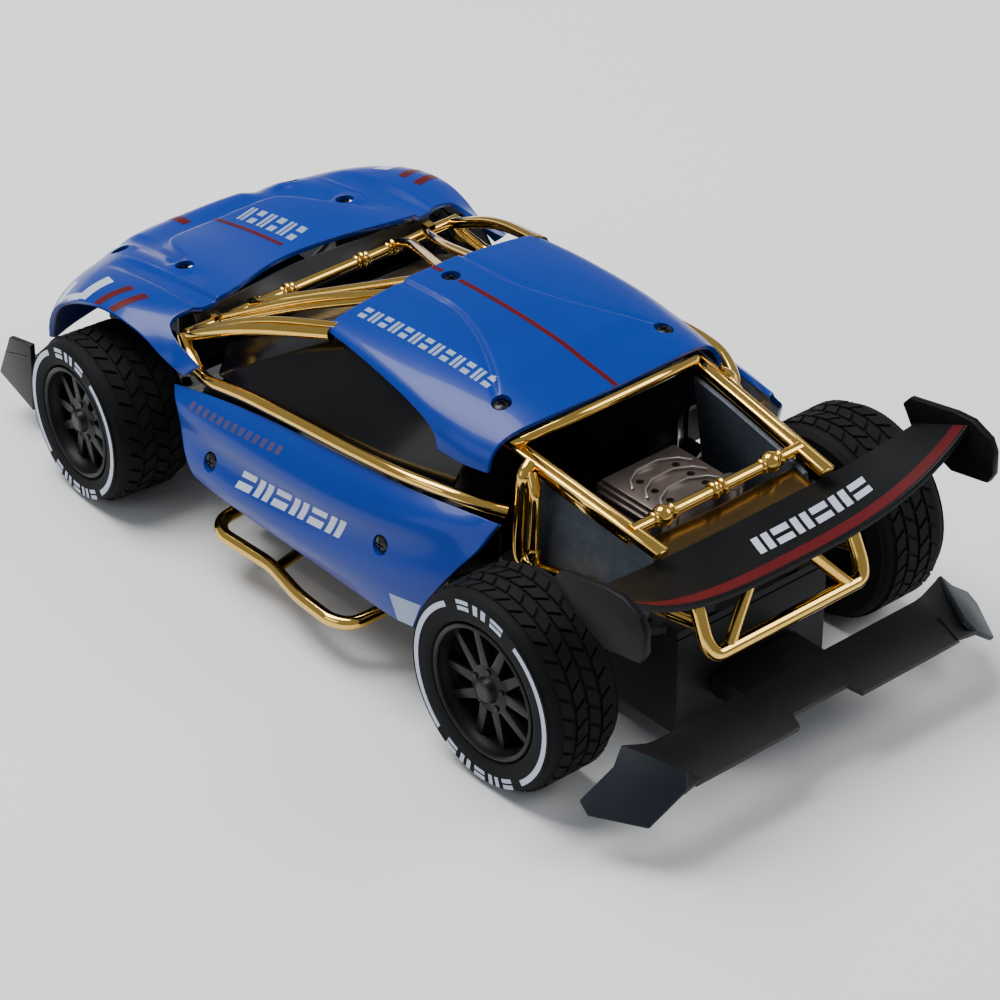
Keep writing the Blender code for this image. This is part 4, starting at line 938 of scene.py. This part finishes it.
def makeBootLid():
    # the plated lid between the rear bar and the blade
    rows = [[(0, 93.6, 57.6), (10, 93.6, 57.8), (20, 93.8, 58.2), (25.0, 94.4, 58.4)],
            [(0, 98.0, 56.6), (10, 98.0, 56.7), (20, 98.2, 57.0), (25.0, 98.6, 57.6)],
            [(0, 103.0, 55.4), (10, 103.0, 55.5), (20, 103.2, 55.8), (25.0, 103.4, 56.4)]]
    lid = thicken(panelSurface([rows], (0, 0, 1), True, 2), 0.8, 0.2)
    addPiece("boot_lid", lid, "smokedGold")


spoilerLook = dict(tipX=57.0, wall=1.6, frontSweep=3.5, stripeFront=117.2, stripeRear=120.9)
spoilerChord = ((100.6, 56.6, 6.3), (106.5, 55.6, 8.5), (114.0, 55.2, 12.3), (121.8, 56.0, 15.0))


def spoilerRow(x):
    # y, height and rise at the tip for each point along the blade, front to back
    share = (abs(x) / spoilerLook["tipX"]) ** 3.2
    row = [(x, y, z + rise * share) for y, z, rise in spoilerChord]
    return [(x, row[0][1] + spoilerLook["frontSweep"] * share, row[0][2])] + row[1:]


def makeSpoiler():
    rows = [spoilerRow(x) for x in (0, 14, 26, 36, 44, 50, 54, 57)]
    blade = thicken(panelSurface([rows], (0, 0, 1), True, 3), spoilerLook["wall"], 0.3)
    spoiler = addPiece("spoiler_blade", blade, "spoilerBlack", angle=40)
    plates = bmesh.new()
    outline = [(99.8, 66.6), (102, 69.2), (117, 72.1), (123, 72.4), (129, 69.9), (130.8, 66.7), (131, 60.4),
               (129.3, 57.3), (117.3, 55.1), (108.4, 58.8), (103, 61.6)]
    for _, side in sides:
        low, high = sorted((side * 56.6, side * 58.8))
        addPrism(plates, outline, "X", low, high)
        inner, outer = sorted((side * 12.0, side * 16.0))
        addBlock(plates, (inner, 101.5, 50), (outer, 110, 54.8))
    ends = addPiece("spoiler_end_plates", roundEdges(meshFrom(plates, "plates"), 0.5), "spoilerBlack")
    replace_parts(spoiler, "spoiler")
    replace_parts(ends, "spoiler")
    down = (0, 0, -1)
    front, rear = spoilerLook["stripeFront"], spoilerLook["stripeRear"]
    stations = [-56.5 + 113.0 * step / 24 for step in range(25)]
    stripe = [[(a, front, 80), (b, front, 80), (b, rear, 80), (a, rear, 80)] for a,
              b in zip(stations, stations[1:])]
    printOn("spoiler_stripe", spoiler, stripe, down, "redPrint")
    marks = slantBars((-35.4, 107.4, 80), (3.6, 107.4, 80), (0, 6.0, 0), 6, fill=0.82, slant=0.35)
    printOn("spoiler_block_mark", spoiler, marks, down, "whitePrint", cell=0.8)


finLook = dict(wall=1.6, notchHalf=9.3, notchFront=131.2)
finOutline = [(54.0, 118.8, 26.1), (57.5, 119.9, 22.1), (66.2, 117.6, 15.0), (66.6, 121.0, 12.7),
              (59.0, 133.9, 12.6), (49.3, 136.4, 20.4), (47.1, 134.3, 23.7)]


def makeLowerWing():
    half, front = finLook["notchHalf"], finLook["notchFront"]

    def rear(x):
        return front if x <= half else 135.2
    rows = [[(x, 119.5, 22.8), (x, 127, 21.4), (x, rear(x), 19.6 + (135.2 - rear(x)) * 0.2)]
            for x in (0, half, half + 1.5, 24, 36, 44)]
    rows.append([(46.7, 119.5, 23.3), (45.0, 127.5, 21.8), (43.4, 135.2, 20.2)])
    rows.append([(53.8, 118.9, 25.9), (51.6, 127.6, 23.2), (49.2, 136.3, 20.4)])
    blade = thicken(flatSkin([rows], (0, 0, 1)), finLook["wall"], 0.4, 25, 2, True, False)
    wing = addPiece("low_wing_blade", blade, "wingBlack", angle=25)
    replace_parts(wing, "lower_rear_wing")
    fins = bmesh.new()
    for _, side in sides:
        flat = [Vector(point) for point in sided(finOutline, side)]
        normal = (flat[2] - flat[0]).cross(flat[4] - flat[0]).normalized()
        normal = -normal if normal.x * side > 0 else normal
        flat = [point - normal * (point - flat[0]).dot(normal) for point in flat]
        outer = [fins.verts.new(point * mm) for point in flat]
        inner = [fins.verts.new((point + normal * finLook["wall"]) * mm) for point in flat]
        addSlab(fins, outer, inner)
    ends = addPiece("low_wing_fins", roundEdges(meshFrom(fins, "fins"), 0.4, angle=30), "finSlate",
                    angle=30)
    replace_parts(ends, "lower_rear_wing")
    parts = bmesh.new()
    addBlock(parts, (-14, 107.3, 15.5), (14, 124, 21.8))
    tongue = addPiece("low_wing_tongue", roundEdges(meshFrom(parts, "tongue"), 0.6), "wingBlack")
    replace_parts(tongue, "lower_rear_wing")


def makeSplitter():
    rows = []
    for x, lift in ((0, 0.0), (15, 0.0), (30, 0.6), (42, 2.4), (50, 6.0), (54.5, 11.0)):
        rows.append([(x, -134.9 + lift * 0.3, 10.4 + lift), (x, -128, 11.6 + lift), (x, -121, 13.6 + lift)])
    blade = thicken(panelSurface([rows], (0, 0, 1), True, 2), 1.8, 0.4)
    splitter = addPiece("splitter_blade", blade, "blackMoulding", angle=40)
    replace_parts(splitter, "front_bumper")
    parts = bmesh.new()
    outline = [(-129, 26), (-118.6, 28), (-119.6, 6.4), (-135.2, 12)]
    for _, side in sides:
        low, high = sorted((side * 53.6, side * 55.4))
        addPrism(parts, outline, "X", low, high)
    addBlock(parts, (-20, -126, 9.4), (20, -113.4, 22.6))
    plates = addPiece("splitter_plates", roundEdges(meshFrom(parts, "plates"), 0.5), "blackMoulding")
    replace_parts(plates, "front_bumper")


makeQuarterPanels()
makeEngine()
makeBootLid()
makeSpoiler()
makeLowerWing()
makeSplitter()
print("rear bodywork done")

# ---- wheels

wheelLooks = {
    "rear": dict(radius=27.0, width=22.4, rim=18.0, ring=23.5, pitches=34, columns=4, blockWide=3.3,
                 hub=3.0),
    "front": dict(radius=23.2, width=24.0, rim=15.6, ring=20.0, pitches=30, columns=4, blockWide=3.4,
                  hub=2.8),
}


def tyreMesh(look):
    # carcass with rounded shoulders, then slanted tread blocks laid round it
    radius, half, rim = look["radius"], look["width"] / 2, look["rim"] + 0.3
    base = radius - 0.7
    profile = [(rim, half - 1.4), (rim + 0.5, half - 0.6), (rim + 1.6, half - 0.2),
               (rim + 2.6, half - 0.05),
               (look["ring"] + 1.4, half), (base - 1.6, half - 0.5), (base - 0.5, half - 1.7), (base,
                                                                                                half - 3.4)]
    outline = profile + [(r, -z) for r, z in reversed(profile)]
    bm = bmesh.new()
    addLathe(bm, outline, 96)
    slot = 2 * math.pi / look["pitches"]
    step = look["blockWide"] + 0.75
    for column in range(look["columns"]):
        middle = (column - (look["columns"] - 1) / 2) * step
        lean = 0.22 if column % 2 else -0.22
        for number in range(look["pitches"]):
            start = (number + 0.5 * (column % 2)) * slot
            corners = []
            for share, z in ((0.0, -0.5), (0.84, -0.5), (0.84, 0.5), (0.0, 0.5)):
                corners.append((start + slot * (share + lean * z * 2), middle + look["blockWide"] * z))
            lower, upper = [], []
            centreAngle = sum(a for a, _ in corners) / 4
            for angle, z in corners:
                lower.append(bm.verts.new(Vector((base * math.cos(angle), base * math.sin(angle),
                                                  z)) * 0.999 * mm))
                inAngle = centreAngle + (angle - centreAngle) * 0.93
                inZ = middle + (z - middle) * 0.93
                upper.append(bm.verts.new(Vector((radius * math.cos(inAngle), radius * math.sin(inAngle),
                                                  inZ)) * mm))
            addSlab(bm, upper, lower)
    return meshFrom(bm, "tyre")


def sidewallMarks(look, top):
    # two long arcs with short blocks in the gaps above and below
    height = look["width"] / 2 + 0.06
    inner, outer = look["ring"] - 0.75, look["ring"] + 0.75
    bm = bmesh.new()

    def arc(start, end, low, high, steps):
        spots = []
        for number in range(steps + 1):
            angle = top + start + (end - start) * number / steps
            pair = [bm.verts.new(Vector((r * math.cos(angle), r * math.sin(angle),
                                         height)) * mm) for r in (low, high)]
            spots.append(pair)
        for first, second in zip(spots, spots[1:]):
            bm.faces.new((first[0], second[0], second[1], first[1]))
    for hand in (1, -1):
        arc(hand * math.radians(32), hand * math.radians(140), inner, outer, 40)
    for middle, count, spread in ((0, 3, 15.0), (180, 5, 13.0)):
        for number in range(count):
            centre = middle + (number - (count - 1) / 2) * spread
            reach = spread * 0.36
            start, end = math.radians(centre - reach), math.radians(centre + reach)
            if number % 2 == 0:
                arc(start, end, inner - 0.6, inner + 0.5, 5)
                arc(start, end, outer - 0.5, outer + 0.6, 5)
            else:
                arc(start, start + (end - start) * 0.36, inner - 0.6, outer + 0.6, 2)
                arc(end - (end - start) * 0.36, end, inner - 0.6, outer + 0.6, 2)
    bmesh.ops.remove_doubles(bm, verts=bm.verts, dist=1e-8)
    bm.normal_update()
    for face in bm.faces:
        if face.normal.z < 0:
            face.normal_flip()
    mesh = bpy.data.meshes.new("marks")
    bm.to_mesh(mesh)
    bm.free()
    return mesh


def rimMesh(look):
    # barrel and lip, ten spokes in five pairs, and a hub with its nuts
    rim, half = look["rim"], look["width"] / 2
    inside = rim - 1.5
    face = half - 3.2
    bm = bmesh.new()
    lip = [(rim, half - 0.7), (rim, 1.2 - half), (inside, 1.2 - half), (inside, face - 3.4),
           (inside - 0.5, face - 3.4),
           (inside - 0.5, face - 0.4), (inside + 0.1, face + 0.6), (inside + 0.3, half - 0.9), (rim - 0.7,
                                                                                                half - 0.4)]
    addLathe(bm, lip, 72)
    hubRadius = look["hub"] + 3.4
    cap = face + 2.1
    hubFoot = 4.4 - half
    hub = [(0, cap), (look["hub"] - 0.35, cap), (look["hub"] - 0.2, cap - 0.35), (look["hub"], cap - 0.35),
           (look["hub"] + 0.15, cap - 0.1), (look["hub"] + 0.5, face + 0.5), (hubRadius, face + 0.1),
           (hubRadius, face - 3.2), (4.6, face - 3.4), (4.6, hubFoot), (2.3, hubFoot), (2.3, face - 1.0),
           (0, face - 1.0)]
    addLathe(bm, hub, 48, closed=False)
    for group in range(5):
        for hand in (-1, 1):
            angle = 2 * math.pi * group / 5 + hand * math.radians(15.5)
            root = 2 * math.pi * group / 5 + hand * math.radians(21)
            direction = Vector((math.cos(angle), math.sin(angle), 0))
            start = Vector((math.cos(root), math.sin(root), 0)) * (hubRadius - 1.2)
            end = direction * (inside + 0.2)
            across = Vector((-direction.y, direction.x, 0))
            corners = []
            for spot, wide, top in ((start, 2.0, face + 0.1), (end, 1.35, face - 0.3)):
                for shift, z in ((-wide, top - 3.0), (wide, top - 3.0), (wide * 0.72, top),
                                 (-wide * 0.72, top)):
                    corners.append(bm.verts.new((spot + across * shift + Vector((0, 0, z))) * mm))
            addSlab(bm, corners[:4], corners[4:])
        nut = 2 * math.pi * (group + 0.5) / 5
        spot = Vector((math.cos(nut), math.sin(nut), 0)) * (look["hub"] + 2.0)
        addDrum(bm, (spot.x, spot.y, face - 0.6), (spot.x, spot.y, face + 0.75), 0.95, 12, 0.2)
    return roundEdges(meshFrom(bm, "rim"), 0.18, angle=50, segments=2)


def makeWheels():
    for end, look in wheelLooks.items():
        tyre, rim = tyreMesh(look), rimMesh(look)
        for sideName, side in sides:
            low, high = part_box(f"{end}_tyre_{sideName}")
            body = "rear_axle_set" if end == "rear" else "front_wheel_" + sideName
            steer = math.radians(-5.0) if end == "front" else 0.0
            place = (Matrix.Translation((low + high) / 2) @ Matrix.Rotation(steer, 4, "Z")
                     @ Matrix.Rotation(side * math.pi / 2, 4, "Y"))
            rubber = addPiece(f"{end}_tyre_tread_{sideName}", tyre.copy(), "tyreRubber", body, place,
                              angle=25)
            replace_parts(rubber, f"{end}_tyre_{sideName}")
            spokes = addPiece(f"{end}_rim_spokes_{sideName}", rim.copy(), "rimBlack", body, place)
            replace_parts(spokes, f"{end}_rim_{sideName}")
            top = math.pi if side > 0 else 0.0
            addPiece(f"{end}_sidewall_marks_{sideName}", sidewallMarks(look, top), "whitePrint", body,
                     place)


makeWheels()
print("wheels done")

# ---- nodes that keep their own shape

keptNodes = {
    "blackMoulding": ["chassis_tray", "upper_deck", "rear_deck", "front_bridge", "battery_cover",
                      "steering_servo",
                      "steering_knuckle_left", "steering_knuckle_right"],
    "glossBlack": ["power_switch"],
    "whiteNylon": ["axle_gear", "axle_bush_left", "axle_bush_right", "servo_horn", "tie_rod"],
    "brightSteel": ["drive_motor"],
    "blackZinc": ["rear_axle"],
    "pinionBrass": ["motor_pinion"],
    "circuitGreen": ["circuit_board"],
    "batterySleeve": ["battery_pack"],
}
for finish, names in keptNodes.items():
    for name in names:
        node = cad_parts[name]
        node.data.materials.clear()
        node.data.materials.append(finishes[finish])
print("kept nodes dressed")

# ---- floor, light and camera

studio = dict(floorSize=6.0, keyPower=27.0, fillPower=2.2, rimPower=8.0, worldStrength=0.36)
viewPoint = dict(azimuth=139.07, elevation=33.35, lens=143.77, place=(0.56931, 0.66944, 0.59101))


def makeFloor():
    bm = bmesh.new()
    bmesh.ops.create_grid(bm, x_segments=8, y_segments=8, size=studio["floorSize"] / 2)
    floor = bpy.data.objects.new("floor", meshFrom(bm, "floor"))
    bpy.context.scene.collection.objects.link(floor)
    floor.data.materials.append(finishes["palePaper"])


def addSoftbox(name, place, target, size, power):
    light = bpy.data.lights.new(name, "AREA")
    light.shape = "RECTANGLE"
    light.size, light.size_y = size
    light.energy = power
    box = bpy.data.objects.new(name, light)
    box.location = place
    box.rotation_euler = (Vector(target) - Vector(place)).to_track_quat("-Z", "Y").to_euler()
    bpy.context.scene.collection.objects.link(box)


def makeStudio():
    middle = (0, 0, 0.04)
    addSoftbox("key_light", (0.2, -0.5, 1.3), middle, (0.9, 0.9), studio["keyPower"])
    addSoftbox("fill_light", (1.3, -0.3, 0.7), middle, (0.8, 0.6), studio["fillPower"])
    addSoftbox("rim_light", (-0.9, 0.7, 0.9), middle, (0.7, 0.7), studio["rimPower"])
    world = bpy.data.worlds.new("studio")
    world.use_nodes = True
    sky = world.node_tree.nodes["Background"]
    sky.inputs["Color"].default_value = (0.80, 0.86, 0.95, 1.0)
    sky.inputs["Strength"].default_value = studio["worldStrength"]
    bpy.context.scene.world = world


def makeCamera():
    azimuth, elevation = math.radians(viewPoint["azimuth"]), math.radians(viewPoint["elevation"])
    back = Vector((math.sin(azimuth) * math.cos(elevation), -math.cos(azimuth) * math.cos(elevation),
                   math.sin(elevation)))
    data = bpy.data.cameras.new("camera")
    data.lens = viewPoint["lens"]
    data.sensor_width = 36.0
    camera = bpy.data.objects.new("camera", data)
    camera.location = viewPoint["place"]
    camera.rotation_euler = (-back).to_track_quat("-Z", "Y").to_euler()
    bpy.context.scene.collection.objects.link(camera)
    bpy.context.scene.camera = camera


makeFloor()
makeStudio()
makeCamera()
print("studio ready")
